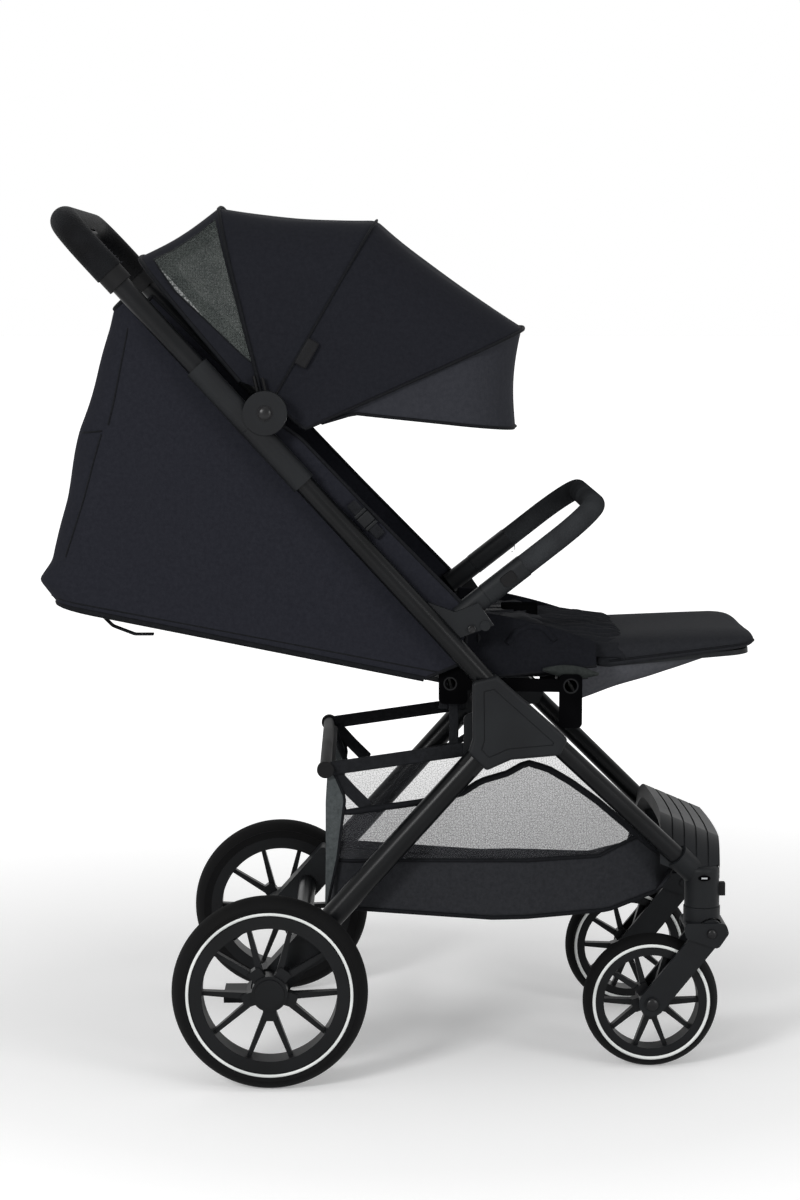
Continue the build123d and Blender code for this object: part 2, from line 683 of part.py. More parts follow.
def rear_leg():
    """Rear leg tube with the flat eye that turns on the hub's pin."""
    tube_end = leg_run - HOUSING_LENGTH + HOUSING_SEAT_LENGTH
    start = on_side(on_rear_leg(REAR_LEG_TUBE_START), -REAR_LEG_Y)
    end = on_side(on_rear_leg(tube_end), -REAR_LEG_Y)
    leg = rod(start, end, REAR_LEG_RADIUS)
    inner, outer = REAR_LEG_Y - LEG_EYE_WIDTH / 2, REAR_LEG_Y + LEG_EYE_WIDTH / 2
    neck = strip(on_rear_leg, 0, LEG_NECK_LENGTH, REAR_LEG_RADIUS - REAR_LEG_WALL)
    leg += right_slab(outline(neck), inner, outer)
    leg += right_disc(LEG_PIVOT_X, LEG_PIVOT_Z, LEG_EYE_RADIUS, inner, outer)
    hollow_top = on_side(on_rear_leg(LEG_NECK_LENGTH + LEG_PIN_SEAT), -REAR_LEG_Y)
    leg -= rod(hollow_top, end, REAR_LEG_RADIUS - REAR_LEG_WALL)
    bore = LEG_PIN_RADIUS + RUNNING_FIT
    return leg - right_disc(LEG_PIVOT_X, LEG_PIVOT_Z, bore, inner - OVERCUT, outer + OVERCUT)


def wheel_housing():
    """Moulded housing between the rear leg and its wheel, seated on the leg and round the axle."""
    top = leg_run - HOUSING_LENGTH
    shape = outline(strip(on_rear_leg, top, leg_run, HOUSING_TOP_WIDTH / 2))
    body = right_slab(shape, HOUSING_INNER, HOUSING_OUTER)
    body = fillet(body.edges().filter_by(Axis.Y), 5.0)
    body += right_disc(REAR_AXLE_X, REAR_WHEEL_RADIUS, HOUSING_BOSS_RADIUS, HOUSING_INNER, HOUSING_OUTER)
    seat = top + HOUSING_SEAT_LENGTH + FIT
    mouth = on_side(on_rear_leg(top - OVERCUT), -REAR_LEG_Y)
    body -= rod(mouth, on_side(on_rear_leg(seat), -REAR_LEG_Y), REAR_LEG_RADIUS + FIT)
    cross_end = HOUSING_INNER + CROSS_TUBE_SEAT + FIT
    body -= right_disc(*cross_tube_place, CROSS_TUBE_RADIUS + FIT, HOUSING_INNER - OVERCUT, cross_end)
    bore = REAR_AXLE_RADIUS + FIT
    return body - right_disc(REAR_AXLE_X, REAR_WHEEL_RADIUS, bore, HOUSING_INNER, HOUSING_OUTER + OVERCUT)


def rear_cross_tube():
    reach = HOUSING_INNER + CROSS_TUBE_SEAT
    tube = disc(*cross_tube_place, CROSS_TUBE_RADIUS, -reach, reach)
    return tube - disc(*cross_tube_place, CROSS_TUBE_RADIUS - TUBE_WALL, -reach, reach)


def rear_axle_pin():
    outer = rear_wheel_y + REAR_TYRE_WIDTH * 0.25 - FACE_GAP
    return right_disc(REAR_AXLE_X, REAR_WHEEL_RADIUS, REAR_AXLE_RADIUS, HOUSING_INNER, outer)


def pedal_pin():
    """Pin on the right wheel housing's inner face that the brake pedal turns on."""
    inner = HOUSING_INNER - PEDAL_PIN_LENGTH
    return right_disc(PEDAL_PIN_X, PEDAL_PIN_Z, PEDAL_PIN_RADIUS, inner, HOUSING_INNER)


def brake_pedal():
    outer = HOUSING_INNER - 2
    inner = outer - PEDAL_WIDTH
    half = PEDAL_THICKNESS / 2
    lever = [
        (PEDAL_PIN_X, PEDAL_PIN_Z + half),
        (PEDAL_PIN_X, PEDAL_PIN_Z - half),
        (PEDAL_TIP_X + 22, PEDAL_TIP_Z - half),
        (PEDAL_TIP_X, PEDAL_TIP_Z - half),
        (PEDAL_TIP_X, PEDAL_TIP_Z + half),
        (PEDAL_TIP_X + 26, PEDAL_TIP_Z + half),
    ]
    pedal = right_slab(outline(lever), inner, outer)
    pedal += right_disc(PEDAL_PIN_X, PEDAL_PIN_Z, PEDAL_SLEEVE_RADIUS, inner, outer)
    bore = PEDAL_PIN_RADIUS + RUNNING_FIT
    return pedal - right_disc(PEDAL_PIN_X, PEDAL_PIN_Z, bore, inner - OVERCUT, outer + OVERCUT)


# Front castors

def post(radius, floor, top):
    """Upright round post on the right-hand swivel axis."""
    return Pos(swivel_x, -front_wheel_y) * extrude(Plane.XY.offset(floor) * Circle(radius), top - floor)


def elbow(radius, past_foot):
    return front_leg_rod(radius, -(front_leg_foot - front_leg_top).length, past_foot)


def swivel_housing():
    """Corner casting that holds the front leg and the fork's upright stem."""
    body = post(SWIVEL_RADIUS, SWIVEL_FLOOR, SWIVEL_TOP)
    body = fillet(body.faces().sort_by(Axis.Z)[-1].edges(), 6.0)
    body += elbow(ELBOW_RADIUS, (swivel_x - FRONT_LEG_FOOT_X) / front_leg_way.X)
    body -= elbow(FRONT_LEG_RADIUS + FIT, FRONT_LEG_ELBOW_SEAT + FIT)
    body -= elbow_mouth()
    body -= post(STEM_RADIUS + RUNNING_FIT, SWIVEL_FLOOR - OVERCUT, STEM_TOP + FACE_GAP)
    pocket_height = LOCK_HEIGHT + LOCK_TRAVEL + 2 * FACE_GAP
    pocket = Box(2 * LOCK_POCKET_DEPTH, LOCK_WIDTH + 2 * FACE_GAP, pocket_height)
    middle = LOCK_FLOOR - FACE_GAP + pocket_height / 2
    return body - Pos(swivel_x + SWIVEL_RADIUS, -front_wheel_y, middle) * pocket


def elbow_mouth():
    """Room just above the elbow's mouth, where only the leg passes."""
    return front_leg_rod(ELBOW_RADIUS + 4, 0, 0)


def swivel_lock():
    lock = Box(LOCK_DEPTH, LOCK_WIDTH, LOCK_HEIGHT)
    lock = fillet(lock.edges().filter_by(Axis.X), 3.0)
    back = swivel_x + SWIVEL_RADIUS - LOCK_POCKET_DEPTH + FACE_GAP
    return Pos(back + LOCK_DEPTH / 2, -front_wheel_y, LOCK_FLOOR + LOCK_HEIGHT / 2) * lock


def bowed_strip(x_from, x_to):
    """Plan of a strip across the footplate, both edges bowed forward."""
    half = FOOTPLATE_HALF_WIDTH
    rear, front = [
        ThreePointArc((x - FOOTPLATE_BOW, -half), (x, 0), (x - FOOTPLATE_BOW, half)) for x in (x_from, x_to)
    ]
    ends = [Line(rear @ 1, front @ 1), Line(rear @ 0, front @ 0)]
    return make_face([edge for line in (rear, front, *ends) for edge in line.edges()])


def saddle(depth_from, depth_to):
    """Layer of the tilted footplate between two depths: flat in the middle and falling to its ends."""
    edges = []
    for depth in (depth_from, depth_to):
        top = -depth
        end = (FOOTPLATE_HALF_WIDTH, top - FOOTPLATE_FALL)
        waist = (0.5 * (FOOTPLATE_FLAT + FOOTPLATE_HALF_WIDTH), top - 0.28 * FOOTPLATE_FALL)
        arc = ThreePointArc((FOOTPLATE_FLAT, top), waist, end)
        edges += [*arc.edges(), *mirror(arc, about=Plane.YZ).edges()]
        edges += Line((-FOOTPLATE_FLAT, top), (FOOTPLATE_FLAT, top)).edges()
    for side in (-1, 1):
        foot = -FOOTPLATE_FALL
        reach = side * FOOTPLATE_HALF_WIDTH
        edges += Line((reach, foot - depth_from), (reach, foot - depth_to)).edges()
    middle = ((FOOTPLATE_REAR_X + FOOTPLATE_FRONT_X) / 2, 0, FOOTPLATE_TOP)
    forward = (cos(radians(FOOTPLATE_TILT)), 0, -sin(radians(FOOTPLATE_TILT)))
    across = Plane(origin=middle, x_dir=(0, 1, 0), z_dir=forward)
    return extrude(across * make_face(edges), amount=2 * FOOTPLATE_FRONT_X, both=True)


def footplate():
    """Ribbed step between the front corners: tilted and bowed forward, and falling to its ends."""
    deep = 4 * FOOTPLATE_THICKNESS
    floor = Plane.XY.offset(FOOTPLATE_FLOOR)
    plate = extrude(floor * bowed_strip(FOOTPLATE_REAR_X, FOOTPLATE_FRONT_X), 2 * deep)
    plate &= saddle(0, FOOTPLATE_THICKNESS)
    pitch = (FOOTPLATE_FRONT_X - FOOTPLATE_REAR_X) / (FOOTPLATE_GROOVES + 1)
    skin = saddle(-GROOVE_DEPTH, GROOVE_DEPTH)
    for k in range(1, FOOTPLATE_GROOVES + 1):
        middle = FOOTPLATE_REAR_X + k * pitch
        groove = bowed_strip(middle - GROOVE_WIDTH / 2, middle + GROOVE_WIDTH / 2)
        plate -= extrude(floor * groove, 2 * deep) & skin
    leg_room = front_leg_rod(FRONT_LEG_RADIUS + SOFT_GAP, 0, 0)
    post_room = post(SWIVEL_RADIUS + FIT, SWIVEL_FLOOR, SWIVEL_TOP + FIT)
    for keep_out in (elbow(ELBOW_RADIUS + FIT, CASTOR_TRAIL), leg_room, post_room):
        plate -= keep_out
        plate -= left_of(keep_out)
    return plate.solids().sort_by(SortBy.VOLUME)[-1]


def across_fork(face, reach):
    """A flat shape thickened to both sides of the right-hand front wheel."""
    return slab(face, -front_wheel_y - reach, reach - front_wheel_y)


def fork_room(extra):
    """Round room about the front wheel, across the fork."""
    room = Pos(front_axle_x, FRONT_WHEEL_RADIUS) * Circle(FRONT_WHEEL_RADIUS + extra)
    return across_fork(room, CROWN_HALF_WIDTH + OVERCUT)


def fork_crown():
    """Fork crown: an upright stem over a bell, with cheeks that hold the arm's pin."""
    crown = post(CROWN_RADIUS, CROWN_SHOULDER, CROWN_TOP) + post(STEM_RADIUS, CROWN_TOP, STEM_TOP)
    skirt = [
        (swivel_x - CROWN_RADIUS - 2, CROWN_SHOULDER + 4),
        (swivel_x + CROWN_RADIUS + 4, CROWN_SHOULDER + 4),
        (ARM_PIVOT_X + CROWN_SKIRT_RADIUS, ARM_PIVOT_Z),
        (ARM_PIVOT_X + 8, ARM_PIVOT_Z - CROWN_SKIRT_RADIUS + 2),
        (swivel_x - CROWN_RADIUS, ARM_PIVOT_Z - 6),
    ]
    pivot = Pos(ARM_PIVOT_X, ARM_PIVOT_Z)
    cheeks = across_fork(outline(skirt, 6.0), CROWN_HALF_WIDTH)
    room = across_fork(pivot * Circle(ARM_WIDTH / 2 + ARM_ROOM), CROWN_CHEEK_GAP)
    slot_points = [
        (ARM_PIVOT_X - 14, ARM_PIVOT_Z + 8),
        (ARM_PIVOT_X + 16, ARM_PIVOT_Z - 4),
        (front_axle_x, FRONT_WHEEL_RADIUS - 40),
        (front_axle_x - 40, FRONT_WHEEL_RADIUS + 50),
        (swivel_x - CROWN_RADIUS - 8, ARM_PIVOT_Z + 6),
    ]
    slot = across_fork(outline(slot_points), CROWN_CHEEK_GAP)
    crown = crown + cheeks - room - slot - fork_room(WHEEL_ROOM)
    return crown + across_fork(pivot * Circle(ARM_PIN_RADIUS), CROWN_HALF_WIDTH + ARM_PIN_PROUD)


def fork_arm():
    """Sprung fork arm: two blades and a bridge that turn on the crown's pin."""
    reach = hypot(ARM_PIVOT_X - front_axle_x, ARM_PIVOT_Z - FRONT_WHEEL_RADIUS)
    turn = degrees(atan2(ARM_PIVOT_Z - FRONT_WHEEL_RADIUS, ARM_PIVOT_X - front_axle_x))
    axle, pivot = Pos(front_axle_x, FRONT_WHEEL_RADIUS), Pos(ARM_PIVOT_X, ARM_PIVOT_Z)
    blade = axle * Rot(0, 0, turn) * Pos(reach / 2, 0) * SlotCenterToCenter(reach, ARM_WIDTH)
    blade -= axle * Circle(FRONT_AXLE_RADIUS + FIT)
    outer = ARM_INNER + ARM_THICKNESS
    arm = across_fork(blade, outer) - across_fork(blade, ARM_INNER)
    arm += across_fork(pivot * Circle(ARM_BRIDGE_RADIUS), outer)
    arm -= across_fork(pivot * Circle(ARM_PIN_RADIUS + RUNNING_FIT), outer + OVERCUT)
    head = axle * Circle(FRONT_AXLE_HEAD_RADIUS)
    bolt = across_fork(axle * Circle(FRONT_AXLE_RADIUS), outer)
    bolt += across_fork(head, outer + FRONT_AXLE_HEAD_HEIGHT) - across_fork(head, outer)
    return Compound(children=[*arm.solids(), *bolt.solids()])


# Seat frame and cushions

seat_tube_places = [
    (RECLINE_X, RECLINE_Z, RECLINE_TUBE_RADIUS),
    (LEGREST_X, LEGREST_Z, LEGREST_TUBE_RADIUS),
]


def seat_rail():
    """Slim rail on the hub's inner face, with a bracket at each end that carries a seat cross tube."""
    half, boss = RAIL_HALF_HEIGHT, RAIL_BOSS_RADIUS
    low = [(RECLINE_X, RECLINE_Z - half), (LEGREST_X, LEGREST_Z - half)]
    high = [(LEGREST_X, LEGREST_Z + half), (RECLINE_X, RECLINE_Z + half)]
    rear_height = RAIL_PLATE_ABOVE + RAIL_PLATE_BELOW
    rear_middle = (RAIL_PLATE_LENGTH / 2 - boss, (RAIL_PLATE_ABOVE - RAIL_PLATE_BELOW) / 2)
    rear = Pos(*rear_middle) * RectangleRounded(RAIL_PLATE_LENGTH, rear_height, RAIL_ROUND)
    front = Pos(0, (boss - RAIL_BRACKET_BELOW) / 2)
    front = front * RectangleRounded(2 * boss, boss + RAIL_BRACKET_BELOW, RAIL_ROUND)
    rail = right_slab(outline(low + high), RAIL_INNER_Y, HUB_BLOCK_INNER)
    rail += right_slab(Pos(RECLINE_X, RECLINE_Z) * rear, RAIL_INNER_Y, HUB_BLOCK_INNER)
    rail += right_slab(Pos(LEGREST_X, LEGREST_Z) * front, RAIL_INNER_Y, HUB_BLOCK_INNER)
    for x, z, radius in seat_tube_places:
        rail -= right_disc(x, z, radius + FIT, RAIL_INNER_Y - OVERCUT, HUB_BLOCK_INNER + OVERCUT)
    return rail


def seat_cross_tubes():
    tubes = []
    for x, z, radius in seat_tube_places:
        tube = disc(x, z, radius, -HUB_BLOCK_INNER, HUB_BLOCK_INNER)
        tubes += (tube - disc(x, z, radius - TUBE_WALL, -HUB_BLOCK_INNER, HUB_BLOCK_INNER)).solids()
    return Compound(children=tubes)


def tube_sleeves(x, z, radius):
    """Two sleeves that turn on a cross tube."""
    low, high = SLEEVE_Y - SLEEVE_LENGTH / 2, SLEEVE_Y + SLEEVE_LENGTH / 2
    sleeve = right_disc(x, z, radius + SLEEVE_WALL, low, high)
    return sleeve + left_of(sleeve)


def cushion(length, half_width, thickness, crown, lobes, taper=1.0):
    """Quilted cushion on Z = 0 from X = 0: puffed lobes along it, lower and drawn in at its sides."""
    sections = []
    for share in (-1.0, -0.82, 0.0, 0.82, 1.0):
        swell = 1 - share * share
        height = thickness * (0.55 + 0.45 * min(1.0, 4 * swell))
        draw = 0.012 * length * swell
        end_height = height * taper
        tail, nose = draw + 0.25 * height, length - draw - 0.25 * end_height

        def top(step):
            """Height of the quilted top at a step along the lobes, valleys at whole steps."""
            rise = crown * (0.35 + 0.65 * swell) * (1 - (2 * step / lobes - 1) ** 2)
            return height + (end_height - height) * step / lobes + rise

        edges = Line((draw, 0), (length - draw, 0)).edges()
        edges += ThreePointArc((draw, 0), (draw - 0.16 * height, 0.5 * height), (tail, height)).edges()
        tip = (length - draw + 0.16 * end_height, 0.5 * end_height)
        edges += ThreePointArc((length - draw, 0), tip, (nose, end_height)).edges()
        pitch = (nose - tail) / lobes
        puff = CHANNEL_DEPTH * (0.3 + 0.7 * swell)
        for k in range(lobes):
            start, end = tail + k * pitch, tail + (k + 1) * pitch
            peak = ((start + end) / 2, top(k + 0.5) + puff)
            edges += ThreePointArc((start, top(k)), peak, (end, top(k + 1))).edges()
        sections.append(Plane.XZ.offset(-share * half_width) * make_face(edges))
    return loft(sections)


back_plane = Plane(
    origin=(RECLINE_X, 0, RECLINE_Z),
    x_dir=(-cos(radians(BACKREST_LIE)), 0, sin(radians(BACKREST_LIE))),
    z_dir=(sin(radians(BACKREST_LIE)), 0, cos(radians(BACKREST_LIE))),
)
leg_plane = Plane(
    origin=(LEGREST_X, 0, LEGREST_Z),
    x_dir=(cos(radians(LEGREST_LIE)), 0, sin(radians(LEGREST_LIE))),
    z_dir=(-sin(radians(LEGREST_LIE)), 0, cos(radians(LEGREST_LIE))),
)
legrest_length = (LEGREST_TIP_X - LEGREST_X) / cos(radians(LEGREST_LIE))
legrest_length += LEGREST_BOARD_RISE * tan(radians(LEGREST_LIE))


def backrest_board():
    """Stiff back board with sleeves on the rear cross tube."""
    start = RECLINE_TUBE_RADIUS + SLEEVE_WALL / 2
    board = Box(BACKREST_LENGTH - start, 2 * BACKREST_HALF_WIDTH, BACKREST_BOARD)
    board = fillet(board.edges().filter_by(Axis.Z).sort_by(Axis.X)[-2:], BACKREST_CORNER)
    board = back_plane * (Pos((start + BACKREST_LENGTH) / 2, 0, 0) * board)
    board += tube_sleeves(RECLINE_X, RECLINE_Z, RECLINE_TUBE_RADIUS)
    bore = RECLINE_TUBE_RADIUS + RUNNING_FIT
    return board - disc(RECLINE_X, RECLINE_Z, bore, -HUB_BLOCK_INNER, HUB_BLOCK_INNER)


def backrest_pad():
    length = BACKREST_LENGTH - BACKREST_PAD_START - BACKREST_PAD_INSET
    half_width = BACKREST_HALF_WIDTH - BACKREST_PAD_INSET
    pad = cushion(length, half_width, BACKREST_PAD_THICKNESS, BACKREST_PAD_CROWN, 5)
    return back_plane * (Pos(BACKREST_PAD_START, 0, BACKREST_BOARD / 2 + FACE_GAP) * pad)


def seat_pad():
    length = SEAT_PAD_FRONT_X - SEAT_PAD_REAR_X
    pad = cushion(length, SEAT_PAD_HALF_WIDTH, SEAT_PAD_THICKNESS, SEAT_PAD_CROWN, 4)
    return Pos(SEAT_PAD_REAR_X, 0, seat_pad_floor) * pad


seat_pad_floor = max(RECLINE_Z + RECLINE_TUBE_RADIUS, LEGREST_Z + LEGREST_TUBE_RADIUS) + FACE_GAP


def harness_buckle():
    """Crotch buckle lying on the seat pad."""
    buckle = Box(BUCKLE_LENGTH, BUCKLE_WIDTH, BUCKLE_HEIGHT)
    buckle = fillet(buckle.edges().filter_by(Axis.Z), 9.0)
    top = seat_pad_floor + SEAT_PAD_THICKNESS + SEAT_PAD_CROWN + CHANNEL_DEPTH + FACE_GAP
    return Pos(BUCKLE_X, 0, top + BUCKLE_HEIGHT / 2) * buckle


def legrest_board():
    """Stiff calf board with sleeves on the front cross tube."""
    end = legrest_length - LEGREST_BOARD_INSET
    width = 2 * (LEGREST_HALF_WIDTH - LEGREST_BOARD_INSET)
    board = Box(end - LEGREST_BOARD_START, width, LEGREST_BOARD)
    board = fillet(board.edges().filter_by(Axis.Z).sort_by(Axis.X)[-2:], LEGREST_CORNER)
    board = Pos((end + LEGREST_BOARD_START) / 2, 0, LEGREST_BOARD_RISE) * board
    ear = Box(2 * LEGREST_BOARD_START, SLEEVE_LENGTH, LEGREST_BOARD_RISE)
    ear = Pos(LEGREST_BOARD_START, 0, LEGREST_BOARD_RISE / 2) * ear
    board = board + Pos(0, SLEEVE_Y, 0) * ear + Pos(0, -SLEEVE_Y, 0) * ear
    board = leg_plane * board + tube_sleeves(LEGREST_X, LEGREST_Z, LEGREST_TUBE_RADIUS)
    bore = LEGREST_TUBE_RADIUS + RUNNING_FIT
    return board - disc(LEGREST_X, LEGREST_Z, bore, -HUB_BLOCK_INNER, HUB_BLOCK_INNER)


def legrest_pad():
    floor = LEGREST_BOARD_RISE + LEGREST_BOARD / 2 + FACE_GAP
    length = legrest_length - LEGREST_PAD_START - LEGREST_PAD_SETBACK
    size = (length, LEGREST_HALF_WIDTH, LEGREST_PAD_THICKNESS, LEGREST_PAD_CROWN)
    return leg_plane * (Pos(LEGREST_PAD_START, 0, floor) * cushion(*size, 2, LEGREST_PAD_TAPER))


# Bumper bar

bumper_way = Vector(cos(radians(BUMPER_LIE)), 0, sin(radians(BUMPER_LIE)))


def bumper_arm(run_from, run_to, depth, width):
    """Rounded rectangular length of the bumper's right arm."""
    half = depth / 2
    corners = strip(on_bumper, run_from, run_to, half)
    arm = right_slab(outline(corners), BUMPER_Y - width / 2, BUMPER_Y + width / 2)
    return fillet(edges_along(arm, bumper_way), SOCKET_ROUND)


def bumper_rod(run_from, run_to, radius):
    return rod(on_side(on_bumper(run_from), -BUMPER_Y), on_side(on_bumper(run_to), -BUMPER_Y), radius)


def bumper_socket():
    """Socket for the bumper's spigot, on a plate fixed to the front of the main tube."""
    socket = bumper_arm(-SOCKET_LENGTH, 0, SOCKET_DEPTH, SOCKET_WIDTH)
    clear = TUBE_RADIUS + FIT
    seat_low = on_tube(SOCKET_SEAT_LOW - LOWER_TUBE_RUN, clear)
    seat_high = on_tube(SOCKET_SEAT_HIGH - LOWER_TUBE_RUN, clear)
    corner = on_bumper(-14, -32)
    plate = outline([seat_low, corner, on_bumper(-12, 0), on_bumper(-SOCKET_LENGTH, 8), seat_high])
    socket += right_slab(plate, PLATE_INNER, PLATE_OUTER)
    socket += right_disc(*on_bumper(-22, -26), SOCKET_BOLT_RADIUS, PLATE_INNER, PLATE_OUTER + 2)
    socket -= rod(on_side(on_tube(0), -TUBE_Y), on_side(on_tube(-LOWER_TUBE_RUN), -TUBE_Y), clear)
    return socket - bumper_rod(-SPIGOT_LENGTH - FACE_GAP, 1, SPIGOT_RADIUS + RUNNING_FIT)


def bumper_adaptor():
    adaptor = bumper_arm(FACE_GAP, BUMPER_BAR_START, SOCKET_DEPTH + 1, SOCKET_WIDTH + 1)
    adaptor += bumper_rod(-SPIGOT_LENGTH, FACE_GAP, SPIGOT_RADIUS)
    return adaptor - release_block(RELEASE_POCKET_DEPTH, RELEASE_PROUD, FACE_GAP)


def release_block(depth, proud, room):
    """Block in the adaptor's outer face, sunk to a depth and standing proud of it."""
    half = RELEASE_WIDTH / 2 + room
    corners = strip(on_bumper, RELEASE_AT - room, RELEASE_AT + RELEASE_LENGTH + room, half)
    face = BUMPER_Y + (SOCKET_WIDTH + 1) / 2
    return right_slab(outline(corners, 3.0), face - depth, face + proud)


def bumper_bar():
    plane = Plane(
        origin=(BUMPER_SEAM_X, 0, BUMPER_SEAM_Z), x_dir=(0, 1, 0), z_dir=(bumper_way.Z, 0, -bumper_way.X)
    )
    start = BUMPER_BAR_START + FIT
    corners = [(-BUMPER_Y, start), (-BUMPER_Y, BUMPER_REACH), (BUMPER_Y, BUMPER_REACH), (BUMPER_Y, start)]
    return swept(plane * FilletPolyline(*corners, radius=BUMPER_BEND), BUMPER_BAR_RADIUS)


# Canopy

def fan_plane(angle):
    """Upright plane of one bow: X across the stroller, Y out from the hinge."""
    c, s = cos(radians(angle)), sin(radians(angle))
    return Plane(origin=(HINGE_X, 0, HINGE_Z), x_dir=(0, 1, 0), z_dir=(s, 0, -c))


def arch(half_width, radius, hem, corner=CANOPY_CORNER):
    """Arch shape across the stroller, from the hem up over a crowned top."""
    shoulder = radius - CANOPY_CROWN
    top = ThreePointArc((-half_width, shoulder), (0, radius), (half_width, shoulder))
    legs = Polyline((half_width, shoulder), (half_width, hem), (-half_width, hem), (-half_width, shoulder))
    face = make_face([*top.edges(), *legs.edges()])
    return fillet(face.vertices().sort_by(Axis.Y)[-2:], corner)


def chord(first, last, angle):
    """Radius at an angle, on the straight line between two (angle, radius) places."""
    (a, ra), (b, rb) = first, last
    p = Vector(ra * cos(radians(a)), ra * sin(radians(a)))
    q = Vector(rb * cos(radians(b)), rb * sin(radians(b)))
    way = Vector(cos(radians(angle)), sin(radians(angle)))
    run = q - p
    return (p.X * run.Y - p.Y * run.X) / (way.X * run.Y - way.Y * run.X)


def fan_shell(stations, half_width, hem, inner_hem):
    """Cloth shell stretched over arches at (angle, radius) stations, open at its hem and both ends."""
    over = 4.0
    outer = loft([fan_plane(a) * arch(half_width, r, hem) for a, r in stations], ruled=True)
    inside = [(a, r - CLOTH) for a, r in stations]
    first, last = inside[0], inside[-1]
    step = over if first[0] > last[0] else -over
    inside[0] = (first[0] + step, chord(first, inside[1], first[0] + step))
    inside[-1] = (last[0] - step, chord(inside[-2], last, last[0] - step))
    corner = CANOPY_CORNER - CLOTH
    arches = [fan_plane(a) * arch(half_width - CLOTH, r, inner_hem, corner) for a, r in inside]
    return outer - loft(arches, ruled=True)


def bow(angle, radius, layer):
    """Flat bow strip whose eyes turn on the hinge pins, in its own layer beside the others."""
    half_width = CANOPY_HALF_WIDTH - CLOTH - SOFT_GAP - layer * BOW_LAYER
    inner_width = half_width - BOW_THICKNESS
    inside = arch(inner_width, radius - BOW_THICKNESS, -OVERCUT, CANOPY_CORNER - BOW_THICKNESS)
    band = fan_plane(angle) * (arch(half_width, radius, 0) - inside)
    bow_strip = extrude(band, amount=BOW_WIDTH / 2, both=True)
    eye = right_disc(HINGE_X, HINGE_Z, BOW_EYE_RADIUS, inner_width, half_width)
    bow_strip = bow_strip + eye + left_of(eye)
    bore = HINGE_PIN_RADIUS + RUNNING_FIT
    hole = right_disc(HINGE_X, HINGE_Z, bore, inner_width - OVERCUT, half_width + OVERCUT)
    return bow_strip - hole - left_of(hole)


def canopy_cover():
    stations = [
        (REAR_BOW_ANGLE, REAR_COVER_RADIUS),
        (MID_BOW_ANGLE, MID_COVER_RADIUS),
        (COVER_FRONT_ANGLE, FRONT_COVER_RADIUS),
    ]
    return fan_shell(stations, CANOPY_HALF_WIDTH, CANOPY_HEM_RADIUS, CANOPY_HEM_RADIUS - HEM_CUT)


def canopy_rear_panel():
    """Mesh and cloth panel from the rear bow back to the handle."""
    start = REAR_BOW_ANGLE + 0.2
    stations = [(start, REAR_COVER_RADIUS), (HOOD_REAR_ANGLE, HOOD_REAR_RADIUS)]
    return fan_shell(stations, CANOPY_HALF_WIDTH, HOOD_HEM_RADIUS, HOOD_HEM_RADIUS - HEM_CUT)


def canopy_visor():
    """Sun visor that hangs from the canopy's front edge, tucked just inside it."""
    tuck = CLOTH + SOFT_GAP
    top = chord((MID_BOW_ANGLE, MID_COVER_RADIUS), (COVER_FRONT_ANGLE, FRONT_COVER_RADIUS), VISOR_TOP_ANGLE)
    stations = [(VISOR_TOP_ANGLE, top - tuck - VISOR_ROOM), (VISOR_LOW_ANGLE, VISOR_LOW_RADIUS)]
    return fan_shell(stations, CANOPY_HALF_WIDTH - tuck, VISOR_HEM_RADIUS, VISOR_HEM_RADIUS - HEM_CUT)


# Cloth shell and basket

def seat_shell():
    """Cloth sides and back on the main tubes, with wings in front of them and open below."""
    top_rear = on_tube(shell_top_run, -SHELL_TOP_DEPTH)
    rear = [(SHELL_WAIST_X, SHELL_WAIST_Z), (SHELL_BULGE_X, SHELL_BULGE_TOP), (SHELL_REAR_X, SHELL_REAR_Z)]
    hem = [(SHELL_HEM_X, SHELL_HEM_Z), (SHELL_FRONT_X, SHELL_FRONT_Z)]
    front = [
        on_tube(-SHELL_FOOT_RUN, -SHELL_EDGE_SETBACK),
        on_tube(-WING_FOOT_RUN, -SHELL_EDGE_SETBACK),
        on_tube(-WING_FOOT_RUN, WING_FOOT_DEPTH),
        on_tube(-WING_TOP_RUN, WING_TOP_DEPTH),
        on_tube(-WING_TOP_RUN, -SHELL_EDGE_SETBACK),
        on_tube(shell_top_run, -SHELL_EDGE_SETBACK),
    ]
    outer = slab(outline([top_rear, *rear, *hem, *front]), -SHELL_HALF_WIDTH, SHELL_HALF_WIDTH)
    past = 2 * WING_FOOT_DEPTH
    above = on_tube(shell_top_run + past, -SHELL_TOP_DEPTH)
    inner_rear = [(x + CLOTH, z) for x, z in (above, top_rear, *rear)]
    below = [(SHELL_REAR_X + CLOTH, SHELL_HEM_Z - past), (SHELL_FRONT_X, SHELL_FRONT_Z - past)]
    beyond = [on_tube(-SHELL_FOOT_RUN - past, past), on_tube(shell_top_run + past, past)]
    inner_width = SHELL_HALF_WIDTH - CLOTH
    return outer - slab(outline([*inner_rear, *below, *beyond]), -inner_width, inner_width)


def basket_side(inset):
    """Side view of the basket's floor and ends, from the rod down and forward, set in by a wall."""
    floor = BASKET_FLOOR_Z + inset
    rear = BASKET_ROD_X + BASKET_ROD_RADIUS + SOFT_GAP + inset
    nose = BASKET_FRONT_X - inset
    return [
        (rear, BASKET_ROD_Z),
        (rear - BASKET_LEAN, floor + BASKET_HEEL),
        (BASKET_SAG_X, floor),
        (BASKET_BEND_X, floor),
        (nose - BASKET_LEAN, floor + BASKET_TOE),
        (nose, BASKET_NOSE_Z),
    ]


